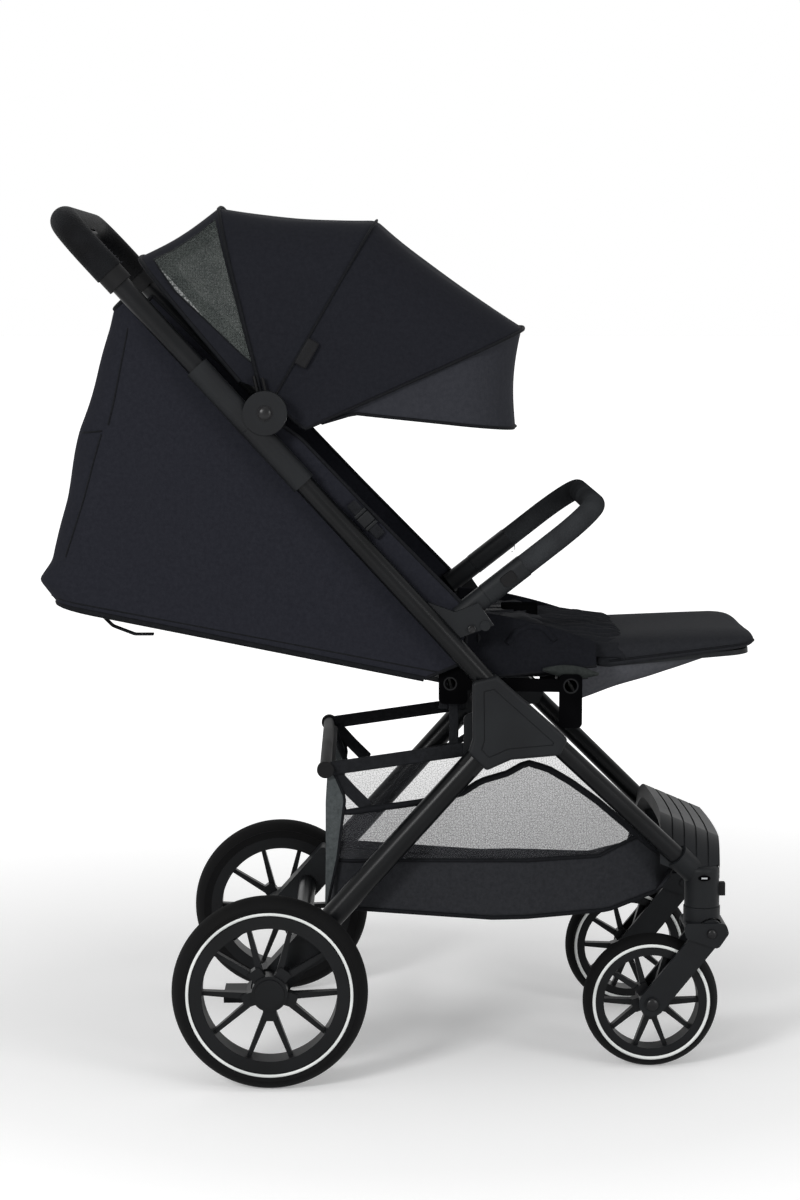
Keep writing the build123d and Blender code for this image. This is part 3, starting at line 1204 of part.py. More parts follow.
def basket_plan(inset):
    """Plan of the basket, narrower at the nose, set in by a wall."""
    half, nose_half = BASKET_HALF_WIDTH - inset, BASKET_FRONT_HALF_WIDTH - inset
    rear, nose = BASKET_ROD_X - 2 * BASKET_HEEL, BASKET_FRONT_X + FACE_GAP
    right = [(rear, -half), (BASKET_TAPER_X, -half), (nose, -nose_half)]
    return [*right, *[(x, -y) for x, y in reversed(right)]]


def basket():
    """Hanging basket, open at the top, with low sides behind and a narrow nose."""
    rim = [
        (BASKET_RIM_FRONT_X, BASKET_RIM_FRONT_Z),
        (BASKET_PEAK_X, BASKET_PEAK_Z),
        (BASKET_STEP_X, BASKET_PEAK_Z - BASKET_LEAN),
        (BASKET_DIP_X, BASKET_DIP_Z),
        (BASKET_ROD_X + 2 * BASKET_KNOB_RADIUS, BASKET_DIP_Z - BASKET_HEEL),
    ]
    rise = 2 * BASKET_ROD_Z
    under = Plane.XY.offset(BASKET_FLOOR_Z - BASKET_HEEL)
    body = slab(outline([*basket_side(0), *rim]), -BASKET_HALF_WIDTH, BASKET_HALF_WIDTH)
    body &= extrude(under * outline(basket_plan(0)), rise)
    mouth = basket_side(CLOTH)
    inside = [*mouth, (mouth[-1][0], rise), (mouth[0][0], rise)]
    room = slab(outline(inside), -BASKET_HALF_WIDTH, BASKET_HALF_WIDTH)
    return body - (room & extrude(under * outline(basket_plan(CLOTH)), rise))


strap_outer = HUB_PLATE_INNER - FIT
strap_inner = strap_outer - STRAP_THICKNESS


def basket_rod():
    """Rod along the basket's rear edge, with a knob outside each strap."""
    rod_bar = disc(BASKET_ROD_X, BASKET_ROD_Z, BASKET_ROD_RADIUS, -strap_outer - FIT, strap_outer + FIT)
    inner, outer = strap_outer + FIT, strap_outer + BASKET_KNOB_LENGTH
    knob = right_disc(BASKET_ROD_X, BASKET_ROD_Z, BASKET_KNOB_RADIUS, inner, outer)
    return rod_bar + knob + left_of(knob)


def basket_strap():
    """Webbing that hangs the basket's rod from the hub's inner plate."""
    rise = degrees(atan2(STRAP_END_Z - BASKET_ROD_Z, STRAP_END_X - BASKET_ROD_X))
    reach = hypot(STRAP_END_X - BASKET_ROD_X, STRAP_END_Z - BASKET_ROD_Z)
    rod_end = Pos(BASKET_ROD_X, BASKET_ROD_Z)
    band = rod_end * Rot(0, 0, rise) * Pos(reach / 2, 0) * Rectangle(reach, STRAP_WIDTH)
    band = band + rod_end * Circle(BASKET_KNOB_RADIUS) - rod_end * Circle(BASKET_ROD_RADIUS + FIT)
    return right_slab(band, strap_inner, strap_outer)


def pieces():
    """Every piece of the stroller, under its name."""
    out = {}

    def both(name, shape):
        out[name + "_right"] = shape
        out[name + "_left"] = left_of(shape)

    both("lower_tube", lower_tube())
    both("hub_housing", hub_housing())
    both("front_leg", front_leg())
    both("swivel_housing", swivel_housing())
    both("swivel_lock", swivel_lock())
    both("fork_crown", fork_crown())
    both("fork_arm", fork_arm())
    both("rear_leg", rear_leg())
    both("wheel_housing", wheel_housing())
    both("bumper_button", release_block(RELEASE_DEPTH, RELEASE_PROUD, 0))
    rear_tyre, rear_rim = rear_wheel()
    both("rear_tyre", rear_tyre)
    both("rear_rim", rear_rim)
    front_tyre, front_rim = front_wheel()
    both("front_tyre", front_tyre)
    both("front_rim", front_rim)
    out["upper_hinges"] = pair(upper_hinge())
    out["lower_hinges"] = pair(lower_hinge())
    out["pivot_pins"] = Compound(children=[*pair(hinge_pin()).solids(), *pair(leg_pin()).solids()])
    out["footplate"] = footplate()
    out["seat_rails"] = pair(seat_rail())
    out["seat_cross_tubes"] = seat_cross_tubes()
    out["seat_pad"] = seat_pad()
    out["harness_buckle"] = harness_buckle()
    out["backrest_board"] = backrest_board()
    out["backrest_pad"] = backrest_pad()
    out["legrest_board"] = legrest_board()
    out["legrest_pad"] = legrest_pad()
    out["rear_cross_tube"] = rear_cross_tube()
    out["rear_axle_pins"] = Compound(children=[*pair(rear_axle_pin()).solids(), *pedal_pin().solids()])
    out["brake_pedal"] = brake_pedal()
    out["handle_tube"] = handle_tube()
    out["handle_grip"] = handle_grip()
    out["grip_sleeves"] = pair(grip_sleeve())
    out["fold_button"] = fold_button()
    out["bumper_sockets"] = pair(bumper_socket())
    out["bumper_adaptors"] = pair(bumper_adaptor())
    out["bumper_bar"] = bumper_bar()
    out["canopy_rear_bow"] = bow(REAR_BOW_ANGLE, REAR_COVER_RADIUS - CLOTH - BOW_ROOM, 0)
    out["canopy_mid_bow"] = bow(MID_BOW_ANGLE, MID_COVER_RADIUS - CLOTH - SOFT_GAP - BOW_ROOM, 1)
    out["canopy_front_bow"] = bow(FRONT_BOW_ANGLE, FRONT_BOW_RADIUS, 2)
    out["canopy_cover"] = canopy_cover()
    out["canopy_rear_panel"] = canopy_rear_panel()
    out["canopy_visor"] = canopy_visor()
    out["seat_shell"] = seat_shell()
    out["basket"] = basket()
    out["basket_rod"] = basket_rod()
    out["basket_straps"] = pair(basket_strap())
    return out


os.makedirs("parts", exist_ok=True)
for name, shape in pieces().items():
    export_step(shape, f"parts/{name}.step")
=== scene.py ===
# %% [markdown]
# # A folding baby stroller
# The hard pieces come from the CAD frame and keep their shape. This lesson adds what a moulding
# shop and a sewing room would add: finishes, cloth, padding, webbing, stitches and bolts.

# %% Load the frame
import json
import math
from functools import partial

import bmesh
import bpy
from mathutils import Matrix, Vector, noise


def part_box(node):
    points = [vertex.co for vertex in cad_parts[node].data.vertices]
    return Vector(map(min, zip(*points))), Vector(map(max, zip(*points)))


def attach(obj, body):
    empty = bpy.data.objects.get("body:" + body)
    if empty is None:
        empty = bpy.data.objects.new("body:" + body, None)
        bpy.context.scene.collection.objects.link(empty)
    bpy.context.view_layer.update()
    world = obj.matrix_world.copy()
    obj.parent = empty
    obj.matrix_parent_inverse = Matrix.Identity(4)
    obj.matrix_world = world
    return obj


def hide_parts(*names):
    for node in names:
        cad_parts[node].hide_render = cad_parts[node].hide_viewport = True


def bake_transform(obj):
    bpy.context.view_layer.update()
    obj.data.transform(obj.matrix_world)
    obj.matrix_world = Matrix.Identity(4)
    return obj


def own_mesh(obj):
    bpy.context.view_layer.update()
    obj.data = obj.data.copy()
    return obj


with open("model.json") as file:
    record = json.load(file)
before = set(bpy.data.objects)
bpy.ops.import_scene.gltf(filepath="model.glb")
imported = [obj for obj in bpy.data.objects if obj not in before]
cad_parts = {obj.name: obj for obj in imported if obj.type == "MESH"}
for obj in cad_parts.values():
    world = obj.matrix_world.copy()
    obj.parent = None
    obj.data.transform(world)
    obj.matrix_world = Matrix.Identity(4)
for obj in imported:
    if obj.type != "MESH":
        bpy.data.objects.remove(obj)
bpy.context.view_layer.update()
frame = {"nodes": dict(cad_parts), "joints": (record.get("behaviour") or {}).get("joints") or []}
nodes = frame["nodes"]
joint_at = {j["name"]: Vector(j["pos_m"]) for j in frame["joints"] if j.get("pos_m")}
MM = 0.001
SIDES = (("right", -1), ("left", 1))
print("CAD nodes", len(nodes))

# %% [markdown]
# ## The camera
# The photograph was taken from the stroller's right, a little above the seat. The lens and the
# stand were found by fitting the four wheels, so the picture lines up without any shift.

# %% Camera
CAMERA_AT = Vector((-0.0415, -3.43485, 0.92373))
CAMERA_YAW = 0.0127579
CAMERA_PITCH = 0.1083932
LENS_MM = 83.7
SENSOR_MM = 36

right_way = Vector((math.cos(CAMERA_YAW), -math.sin(CAMERA_YAW), 0))
look_way = Vector((
    math.sin(CAMERA_YAW) * math.cos(CAMERA_PITCH),
    math.cos(CAMERA_YAW) * math.cos(CAMERA_PITCH),
    -math.sin(CAMERA_PITCH),
))
turn = Matrix((right_way, right_way.cross(look_way), -look_way)).transposed()
camera_data = bpy.data.cameras.new("camera")
camera_data.lens = LENS_MM
camera_data.sensor_width = SENSOR_MM
camera = bpy.data.objects.new("camera", camera_data)
camera.matrix_world = Matrix.Translation(CAMERA_AT) @ turn.to_4x4()
bpy.context.scene.collection.objects.link(camera)
bpy.context.scene.camera = camera
bpy.context.scene.view_settings.view_transform = "Standard"
print("camera at", tuple(round(v, 3) for v in CAMERA_AT))

# %% [markdown]
# ## Finishes
# A finish is a small node graph. A few functions add its nodes: a noise, cells, a stretched value, a
# colour between two, a relief. Another turns the hex colours of a colour card into the linear values
# that a shader wants.


# %% Node helpers
def linear(card):
    """Linear red, green, blue and alpha of an sRGB hex colour."""
    parts = [int(card[i:i + 2], 16) / 255 for i in (1, 3, 5)]
    return (*[c / 12.92 if c <= 0.04045 else ((c + 0.055) / 1.055) ** 2.4 for c in parts], 1)


def feed(tree, node, links=None, values=None):
    """Sets values of a node's sockets and links the sockets that other nodes feed."""
    for key, value in (values or {}).items():
        node.inputs[key].default_value = value
    for key, source in (links or {}).items():
        tree.links.new(source, node.inputs[key])
    return node


def add(tree, kind, links=None, values=None, **settings):
    """One node with its settings, its socket values and the links that feed it."""
    node = tree.nodes.new(kind)
    for key, value in settings.items():
        setattr(node, key, value)
    return feed(tree, node, links, values)


def start_material(name):
    """A new material with an empty Principled shader, its tree and its coordinates."""
    made = bpy.data.materials.new(name)
    made.use_nodes = True
    tree = made.node_tree
    tree.nodes.clear()
    shader = add(tree, "ShaderNodeBsdfPrincipled")
    add(tree, "ShaderNodeOutputMaterial", {"Surface": shader.outputs["BSDF"]})
    return made, tree, shader, add(tree, "ShaderNodeTexCoord").outputs


def clouds(tree, where, size_mm, detail, rough=0.5):
    """A noise with patches of a size."""
    values = {"Scale": 1 / (size_mm * MM), "Detail": detail, "Roughness": rough}
    return add(tree, "ShaderNodeTexNoise", {"Vector": where}, values).outputs["Fac"]


def cells(tree, where, size_mm, random, **settings):
    """The distance to the middle of cells of a size."""
    values = {"Scale": 1 / (size_mm * MM), "Randomness": random}
    return add(tree, "ShaderNodeTexVoronoi", {"Vector": where}, values, **settings).outputs["Distance"]


def remap(tree, source, low, high, to_low=0.0, to_high=1.0):
    """A value stretched so that low becomes to_low and high becomes to_high."""
    limits = {"From Min": low, "From Max": high, "To Min": to_low, "To Max": to_high}
    return add(tree, "ShaderNodeMapRange", {"Value": source}, limits).outputs["Result"]


def two_tone(tree, source, dark, light, low=0.3, high=0.7):
    """A colour that runs from dark to light as a value runs from low to high."""
    tone = remap(tree, source, low, high)
    colours = {"A": linear(dark), "B": linear(light)}
    return add(tree, "ShaderNodeMix", {"Factor": tone}, colours, data_type="RGBA").outputs["Result"]


def relief(tree, height, depth_mm, strength):
    """The normal of a surface pushed about by a height."""
    values = {"Distance": depth_mm * MM, "Strength": strength}
    return add(tree, "ShaderNodeBump", {"Height": height}, values).outputs["Normal"]


# %% [markdown]
# Mouldings and coated tubes share one graph. A fine grain roughens the surface, as spark-eroded
# tool steel or powder does, and a slow cloud of wear makes some patches shinier than others.

# %% Moulded and coated finishes
WEAR_MM = 60


def grained(name, dark, light, grain_mm, depth_mm, rough, spread, shine, metallic=0.0):
    """Plastic, rubber or coated metal with a fine grain and slow changes in shine."""
    made, tree, shader, place = start_material(name)
    grain = clouds(tree, place["Object"], grain_mm, 3)
    wear = clouds(tree, place["Object"], WEAR_MM, 2)
    feed(tree, shader, {
        "Base Color": two_tone(tree, wear, dark, light),
        "Roughness": remap(tree, wear, 0, 1, rough - spread, rough + spread),
        "Normal": relief(tree, grain, depth_mm, 0.6),
    }, {"Specular IOR Level": shine, "Metallic": metallic})
    return made


powder_coat = grained("powder_coated_aluminium", "#070809", "#0e0f11", 0.9, 0.03, 0.3, 0.05, 0.14)
moulded_nylon = grained("moulded_nylon", "#111214", "#181a1c", 0.8, 0.1, 0.5, 0.07, 0.14)
rim_nylon = grained("rim_nylon", "#0b0c0d", "#121315", 1.2, 0.05, 0.42, 0.06, 0.14)
tyre_rubber = grained("tyre_rubber", "#070707", "#0e0e0f", 1.5, 0.12, 0.75, 0.08, 0.1)
soft_rubber = grained("soft_touch_rubber", "#0b0b0c", "#121213", 0.7, 0.05, 0.6, 0.08, 0.12)
black_plate = grained("black_moulding", "#050506", "#0a0a0b", 0.7, 0.04, 0.6, 0.06, 0.0)
zinc_plate = grained("zinc_plated_steel", "#a9abad", "#c6c8ca", 0.5, 0.02, 0.3, 0.08, 0.5, metallic=1.0)
bright_strip = grained("reflective_strip", "#c9ccca", "#e2e4e2", 0.6, 0.02, 0.35, 0.05, 0.4)
dark_pin = grained("blackened_steel", "#08080a", "#0f0f11", 0.5, 0.02, 0.3, 0.05, 0.25)
print("hard finishes ready")

# %% [markdown]
# Leatherette is embossed vinyl: rounded pebbles about two millimetres across, parted by narrow
# creases. A Voronoi cell gives the pebble, and its distance to the cell's middle is the height.


# %% Leatherette
def pebbled(name, dark, light, pebble_mm, rough, shine):
    """Embossed vinyl with soft pebbles."""
    made, tree, shader, place = start_material(name)
    pebble = cells(tree, place["Object"], pebble_mm, 0.85)
    feed(tree, shader, {
        "Base Color": two_tone(tree, clouds(tree, place["Object"], 45, 3), dark, light),
        "Normal": relief(tree, remap(tree, pebble, 0.2, 0.75, 1, 0), 0.5, 0.85),
    }, {"Roughness": rough, "Specular IOR Level": shine})
    return made


# The grip and the bumper bar are one leatherette. The grip's darker colours are painted shade and the
# bumper's lighter ones are painted light.
shaded_grip_vinyl = pebbled("grip_leatherette_shaded", "#111112", "#1a1b1d", 2.2, 0.6, 0.03)
lit_bar_vinyl = pebbled("bumper_leatherette_lit", "#292a2c", "#353739", 2.4, 0.75, 0.0)
print("leatherette ready")

# %% [markdown]
# The cloth is a close plain weave, nearly black with a blue cast. Real threads are half a
# millimetre apart, too fine to show, so they are drawn about three times as coarse. Slow streaks
# stand for threads that took the dye a little differently.


# %% Woven cloth
def woven(name, dark, light, thread_mm, rough=0.95, sheen=0.0, depth_mm=0.2):
    """Plain weave on Object coordinates, with heathered threads."""
    made, tree, shader, place = start_material(name)
    weave = cells(tree, place["Object"], thread_mm, 0.35)
    slub = clouds(tree, place["Object"], 3 * thread_mm, 4, 0.7)
    feed(tree, shader, {
        "Base Color": two_tone(tree, slub, dark, light, 0.32, 0.68),
        "Normal": relief(tree, weave, depth_mm, 0.55),
    }, {"Roughness": rough, "Specular IOR Level": 0.08, "Sheen Weight": sheen, "Sheen Roughness": 0.4})
    return made


canopy_cloth = woven("canopy_weave", "#18191e", "#1d1e23", 1.6)
# The visor is the canopy's weave in lighter colours: the difference is painted light on its hanging front
# face.
lit_visor_cloth = woven("visor_weave_lit", "#2a2b30", "#303136", 1.6)
shell_cloth = woven("shell_weave", "#1c1d23", "#222329", 1.6)
pad_cloth = woven("pad_jersey", "#191a1d", "#1f2023", 1.4)
# The calf pad is the seat's jersey in lighter colours: painted light for its side-lit face.
lit_calf_cloth = woven("calf_jersey_lit", "#202124", "#26272a", 1.4)
# The panel under the calf is dark cloth like the pad's, drawn much lighter: painted light, since facing down
# it gets little of the lamps.
lit_under_cloth = woven("under_panel_cloth_lit", "#434448", "#4d4e52", 1.4)
hip_cloth = woven("hip_jersey", "#111216", "#17181c", 1.4)
gusset_cloth = woven("gusset_cloth", "#3a3e3f", "#4c5051", 1.6)
flap_cloth = woven("flap_nylon", "#1d201f", "#2a2d2c", 1.4, rough=0.55)
band_cloth = woven("basket_cloth", "#232427", "#2b2c2f", 1.6)
webbing = woven("nylon_webbing", "#111214", "#1c1d20", 2.4, rough=0.7, depth_mm=0.5)
binding_tape = woven("binding_tape", "#0e0f11", "#17181b", 1.2, rough=0.8)
thread = woven("sewing_thread", "#3a3b40", "#4a4b50", 0.8, rough=0.6, sheen=0.02)
tag_cloth = woven("tag_satin", "#0f0f11", "#161618", 1.0, rough=0.5)
print("cloths ready")

# %% [markdown]
# Netting is knitted nylon with a hole at every stitch. The real holes are finer than a pixel, so the
# net is drawn coarser, on the piece's own UV map in metres, and each drawn hole lets through only the
# share of light that a patch of the real net would.

# %% Netting
HOLE_BLUR = 0.2


def netting(name, dark, light, pitch_mm, hole, cover_low, cover_high):
    """Open net: soft round holes at a pitch; the cover is how opaque the holes and the threads are."""
    made, tree, shader, place = start_material(name)
    cell = cells(tree, place["UV"], pitch_mm, 0.6, voronoi_dimensions="2D")
    feed(tree, shader, {
        "Alpha": remap(tree, cell, hole - HOLE_BLUR, hole + HOLE_BLUR, cover_low, cover_high),
        "Base Color": two_tone(tree, clouds(tree, place["UV"], 30, 3), dark, light),
    }, {"Roughness": 0.7, "Specular IOR Level": 0.1})
    return made


window_net = netting("window_net", "#343837", "#454947", 3.0, 0.42, 0.5, 0.9)
basket_net = netting("basket_net", "#3a3b3e", "#48494c", 2.0, 0.4, 0.17, 0.32)
print("nets ready")

# %% [markdown]
# ## Dressing the CAD nodes
# Each node that keeps its shape gets the finish of its own piece, by what the piece is made of.

# %% Finish by node
FINISHES = (
    (powder_coat, "lower_tube front_leg rear_leg handle_tube rear_cross_tube seat_cross_tubes"),
    (moulded_nylon, "hub_housing swivel_housing fork_crown fork_arm wheel_housing upper_hinges"),
    (moulded_nylon, "lower_hinges footplate brake_pedal bumper_sockets bumper_adaptors backrest_board"),
    (moulded_nylon, "legrest_board canopy_rear_bow canopy_mid_bow canopy_front_bow"),
    (soft_rubber, "basket_rod swivel_lock bumper_button fold_button grip_sleeves"),
    (black_plate, "seat_rails harness_buckle"),
    (rim_nylon, "rear_rim front_rim"),
    (tyre_rubber, "rear_tyre front_tyre"),
    (dark_pin, "pivot_pins"),
    (zinc_plate, "rear_axle_pins"),
    (shaded_grip_vinyl, "handle_grip"),
    (lit_bar_vinyl, "bumper_bar"),
    (webbing, "basket_straps"),
)
finish_of = {stem: finish for finish, stems in FINISHES for stem in stems.split()}
for name, node in nodes.items():
    stem = name.removesuffix("_right").removesuffix("_left")
    if stem in finish_of:
        node.data.materials.clear()
        node.data.materials.append(finish_of[stem])
print("finishes set on", sum(len(o.data.materials) == 1 for o in nodes.values()), "nodes")

# %% [markdown]
# ## Helpers for new pieces
# A new piece starts as a bmesh or a swept line. When its shape is done, it becomes a mesh object at
# the origin, which rides on a CAD body when it is given one.


# %% Measure helpers
def between(a, b, share):
    return a + (b - a) * share


def share_of(value, low, high):
    """How far a value has come from low to high, from 0 to 1."""
    return min(1.0, max(0.0, (value - low) / (high - low)))


def ripple(point, size_mm, depth_mm, stretch=(1, 1, 1)):
    """A smooth bump height at a point, in metres: the same on every run."""
    at = Vector(p * s for p, s in zip(point, stretch)) / (size_mm * MM)
    return noise.noise(at) * depth_mm * MM


def run_length(points):
    return sum((b - a).length for a, b in zip(points, points[1:]))


def along(points, share):
    """A point at a share of the length of a line of points."""
    lengths = [(b - a).length for a, b in zip(points, points[1:])]
    left = share * sum(lengths)
    for a, b, length in zip(points, points[1:], lengths):
        if left <= length:
            return a.lerp(b, left / max(length, 1e-9))
        left -= length
    return points[-1].copy()


def level(points, x):
    """Height at x of a line through (x, height) points, flat beyond its ends."""
    for (ax, ay), (bx, by) in zip(points, points[1:]):
        if ax <= x <= bx:
            return between(ay, by, (x - ax) / max(bx - ax, 1e-9))
    return points[0][1] if x < points[0][0] else points[-1][1]


def trace(place, steps):
    """The points place(share) at even shares from 0 to 1."""
    return [place(k / steps) for k in range(steps + 1)]


def round_u(run, flat, corner):
    """Across and back from the middle of a U with round corners, at a run along it."""
    bend = corner * math.pi / 2
    if run <= flat:
        return run, 0.0
    if run <= flat + bend:
        angle = (run - flat) / corner
        return flat + corner * math.sin(angle), corner * (1 - math.cos(angle))
    return flat + corner, corner + (run - flat - bend)


def in_mm(*points):
    """Points given in millimetres, as vectors in metres."""
    return [Vector(p) * MM for p in points]


def beside(y_mm, *points):
    """Points given by X and Z in millimetres, all at one place across the stroller."""
    return in_mm(*[(x, y_mm, z) for x, z in points])


def side_face(node, sign):
    """Where the outermost face of a CAD node lies across the stroller, in millimetres."""
    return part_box(node)[sign > 0].y / MM


# %% Piece helpers
def dress(mesh, name, material, body=None, smooth=True):
    """The object of a mesh with its finish and its shading, riding on a body."""
    mesh.materials.clear()
    mesh.materials.append(material)
    mesh.polygons.foreach_set("use_smooth", [smooth] * len(mesh.polygons))
    obj = bpy.data.objects.new(name, mesh)
    bpy.context.scene.collection.objects.link(obj)
    if body:
        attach(obj, body)
    return obj


def piece(bm, name, material, body=None, smooth=True):
    """The finished object of a bmesh."""
    mesh = bpy.data.meshes.new(name)
    bm.to_mesh(mesh)
    bm.free()
    return dress(mesh, name, material, body, smooth)


def piping(name, points, radius_mm, body=None, material=binding_tape, closed=False):
    """A round cord swept along points, as a mesh."""
    curve = bpy.data.curves.new(name, "CURVE")
    curve.dimensions = "3D"
    curve.bevel_depth = radius_mm * MM
    curve.bevel_resolution = 2
    curve.use_fill_caps = True
    line = curve.splines.new("POLY")
    line.points.add(len(points) - 1)
    for point, at in zip(line.points, points):
        point.co = (*at, 1)
    line.use_cyclic_u = closed
    path = bpy.data.objects.new(name, curve)
    mesh = bpy.data.meshes.new_from_object(path)
    bpy.data.objects.remove(path)
    mesh.name = name
    return dress(mesh, name, material, body)


# %% [markdown]
# A sheet of cloth is a grid. Its shares (u, v) run from 0 to 1 along its width and its length, and a
# function puts each at its place.

# %% Cloth helpers
cut_sizes = {}


def cloth_grid(columns, rows, place):
    """A bmesh grid put at place(u, v), with UVs in metres, and the size it was cut to."""
    wide = max(run_length(trace(lambda u: place(u, v / 8), 60)) for v in range(9))
    long = max(run_length(trace(lambda v: place(u / 8, v), 60)) for u in range(9))
    bm = bmesh.new()
    layer = bm.loops.layers.uv.new("UVMap")
    bmesh.ops.create_grid(bm, x_segments=columns, y_segments=rows, size=0.5)
    for face in bm.faces:
        for loop in face.loops:
            loop[layer].uv = ((loop.vert.co.x + 0.5) * wide, (loop.vert.co.y + 0.5) * long)
    for vert in bm.verts:
        vert.co = place(vert.co.x + 0.5, vert.co.y + 0.5)
    bmesh.ops.recalc_face_normals(bm, faces=bm.faces)
    return bm, wide, long


def sheet(name, columns, rows, place, material, body=None,
          thickness_mm=1.6, offset=-1.0, rounds=1):
    """A sheet of cloth, smoothed and given its thickness, whose cut size is kept for later."""
    bm, wide, long = cloth_grid(columns, rows, place)
    area = min(sum(face.calc_area() for face in bm.faces), wide * long)
    cut_sizes[name] = (wide, long, area)
    print(f"sheet {name}: {wide:.3f} by {long:.3f} m, {area:.3f} m2")
    cloth = piece(bm, name, material, body)
    if rounds:
        smooth = cloth.modifiers.new("smooth", "SUBSURF")
        smooth.levels = smooth.render_levels = rounds
    wall = cloth.modifiers.new("wall", "SOLIDIFY")
    wall.thickness = thickness_mm * MM
    wall.offset = offset
    return cloth


def strap(name, points, side_way, width_mm, body, thickness_mm=2.0):
    """A band of webbing along points, declared as a sheet; side_way is across it."""
    across = Vector(side_way).normalized() * width_mm * MM

    def place(u, v):
        return along(points, u) + across * (v - 0.5)

    band = sheet(name, max(8, 6 * len(points)), 4, place, webbing, body, thickness_mm, 0)
    return band


def grid_place(cloth, face, columns, rows):
    """The column and the row of a face of a sheet, read from its UV map."""
    wide, long = cut_sizes[cloth.name][:2]
    corners = [cloth.data.uv_layers[0].data[loop].uv for loop in face.loop_indices]
    mid = sum(corners, Vector((0, 0))) / len(corners)
    return mid.x / wide * columns, mid.y / long * rows


def side_map(cloth):
    """Lays a sheet's UV map straight from the side, from the end or from above, as each face looks."""
    for face in cloth.data.polygons:
        way = [abs(v) for v in face.normal]
        for loop in face.loop_indices:
            at = cloth.data.vertices[cloth.data.loops[loop].vertex_index].co
            end_on = (at.y, at.x) if way[2] > way[0] else (at.y, at.z)
            cloth.data.uv_layers[0].data[loop].uv = (at.x, at.z) if way[1] > 0.6 else end_on


# %% [markdown]
# ## The canopy
# Three bows fan out from the fold hinge, and the cloth is cut in gores between them. Each arch has
# straight legs, round shoulders and a crowned top. The sheet is a grid laid over a row of arches;
# between two bows it sinks a little, as tight cloth does.

# %% Canopy form
hinge_at = joint_at["canopy_fold"]
REAR_BOW, REAR_BOW_R = 103.5, 247
MID_BOW, MID_BOW_R = 60.0, 260
FRONT_EDGE, FRONT_EDGE_R = 17.5, 322
HOOD_EDGE, HOOD_EDGE_R = 130.0, 237
ARCH_HALF = 193.4 * MM
SHOULDER_R = 78 * MM
CROWN = 14 * MM
COVER_STATIONS = ((REAR_BOW, REAR_BOW_R), (MID_BOW, MID_BOW_R), (FRONT_EDGE, FRONT_EDGE_R))
HOOD_STATIONS = ((HOOD_EDGE, HOOD_EDGE_R), (REAR_BOW, REAR_BOW_R))


def arch_point(share, radius, hem, half=ARCH_HALF):
    """Across and out from the hinge, at a share of the arch from its right hem to its left."""
    top = half - SHOULDER_R
    fall = CROWN * top / half
    leg = max(radius - fall - SHOULDER_R - hem, 0.01)
    run = abs(2 * share - 1) * (leg + SHOULDER_R * math.pi / 2 + top)
    across, down = round_u(run, top, SHOULDER_R)
    sag = CROWN * (min(run, top) / half) ** 2 if down < SHOULDER_R else fall
    return math.copysign(across, share - 0.5), radius - down - sag


def fan_way(angle):
    """Unit direction out from the hinge at an angle of the fan."""
    return Vector((math.cos(math.radians(angle)), 0, math.sin(math.radians(angle))))


def on_fan(angle, across, out):
    """A point at an angle of the fan, across the stroller and out from the hinge."""
    return Vector((hinge_at.x, across, hinge_at.z)) + fan_way(angle) * out


def chord_radius(stations, angle):
    """Radius at an angle on the straight cloth between the two nearest stations."""
    for (a, ra), (b, rb) in zip(stations, stations[1:]):
        if min(a, b) - 1e-6 <= angle <= max(a, b) + 1e-6:
            p, q, way = fan_way(a) * ra, fan_way(b) * rb, fan_way(angle)
            run = q - p
            return (p.x * run.z - p.z * run.x) / (way.x * run.z - way.z * run.x) * MM
    return stations[-1][1] * MM


# %% Canopy cover
HEM_R = 23 * MM
EDGE_DROP = 40 * MM
DROP_RUN = 20 * MM
DROP_FROM = 0.55
COVER_SAG = 5 * MM
COVER_WAIST = 0.012


def edge_drop(out, over):
    """How far the front edge hangs below its straight line, least at the hinge and at the crown."""
    return EDGE_DROP * (1 - over) * min(1.0, max(0.2, (out - HEM_R) / DROP_RUN))


def cover_point(u, v):
    """u runs from the rear bow to the front edge, v from the right hem over to the left."""
    angle = between(REAR_BOW, FRONT_EDGE, u)
    radius = chord_radius(COVER_STATIONS, angle)
    span = (angle - MID_BOW) / ((REAR_BOW - MID_BOW) if angle > MID_BOW else (MID_BOW - FRONT_EDGE))
    slack = 1 - (2 * abs(span) - 1) ** 2
    across, out = arch_point(v, radius, HEM_R)
    at = on_fan(angle, across, out)
    over = min(1.0, out / radius)
    at -= fan_way(angle) * slack * COVER_SAG * between(0.35, 1, over)
    at.z -= edge_drop(out, over) * share_of(u, DROP_FROM, 1)
    at.y *= 1 - COVER_WAIST * slack
    at += Vector((0, ripple(at, 70, 1.6), ripple(at + Vector((3, 0, 0)), 80, 1.4)))
    return at


cover = sheet("canopy_cover_cloth", 56, 96, cover_point, canopy_cloth)
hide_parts("canopy_cover")

# %% [markdown]
# The sun visor hangs from the front edge like a short curtain. On the sides it narrows to a point
# part of the way back to the hinge.

# %% Sun visor
VISOR_TAIL_R = 66 * MM
VISOR_KNEE_R = 107 * MM
VISOR_DROP = 118 * MM
VISOR_LEAN = 8 * MM
VISOR_INSET = 2.5 * MM
VISOR_HOLLOW = 6 * MM
VISOR_WAIST = 0.02


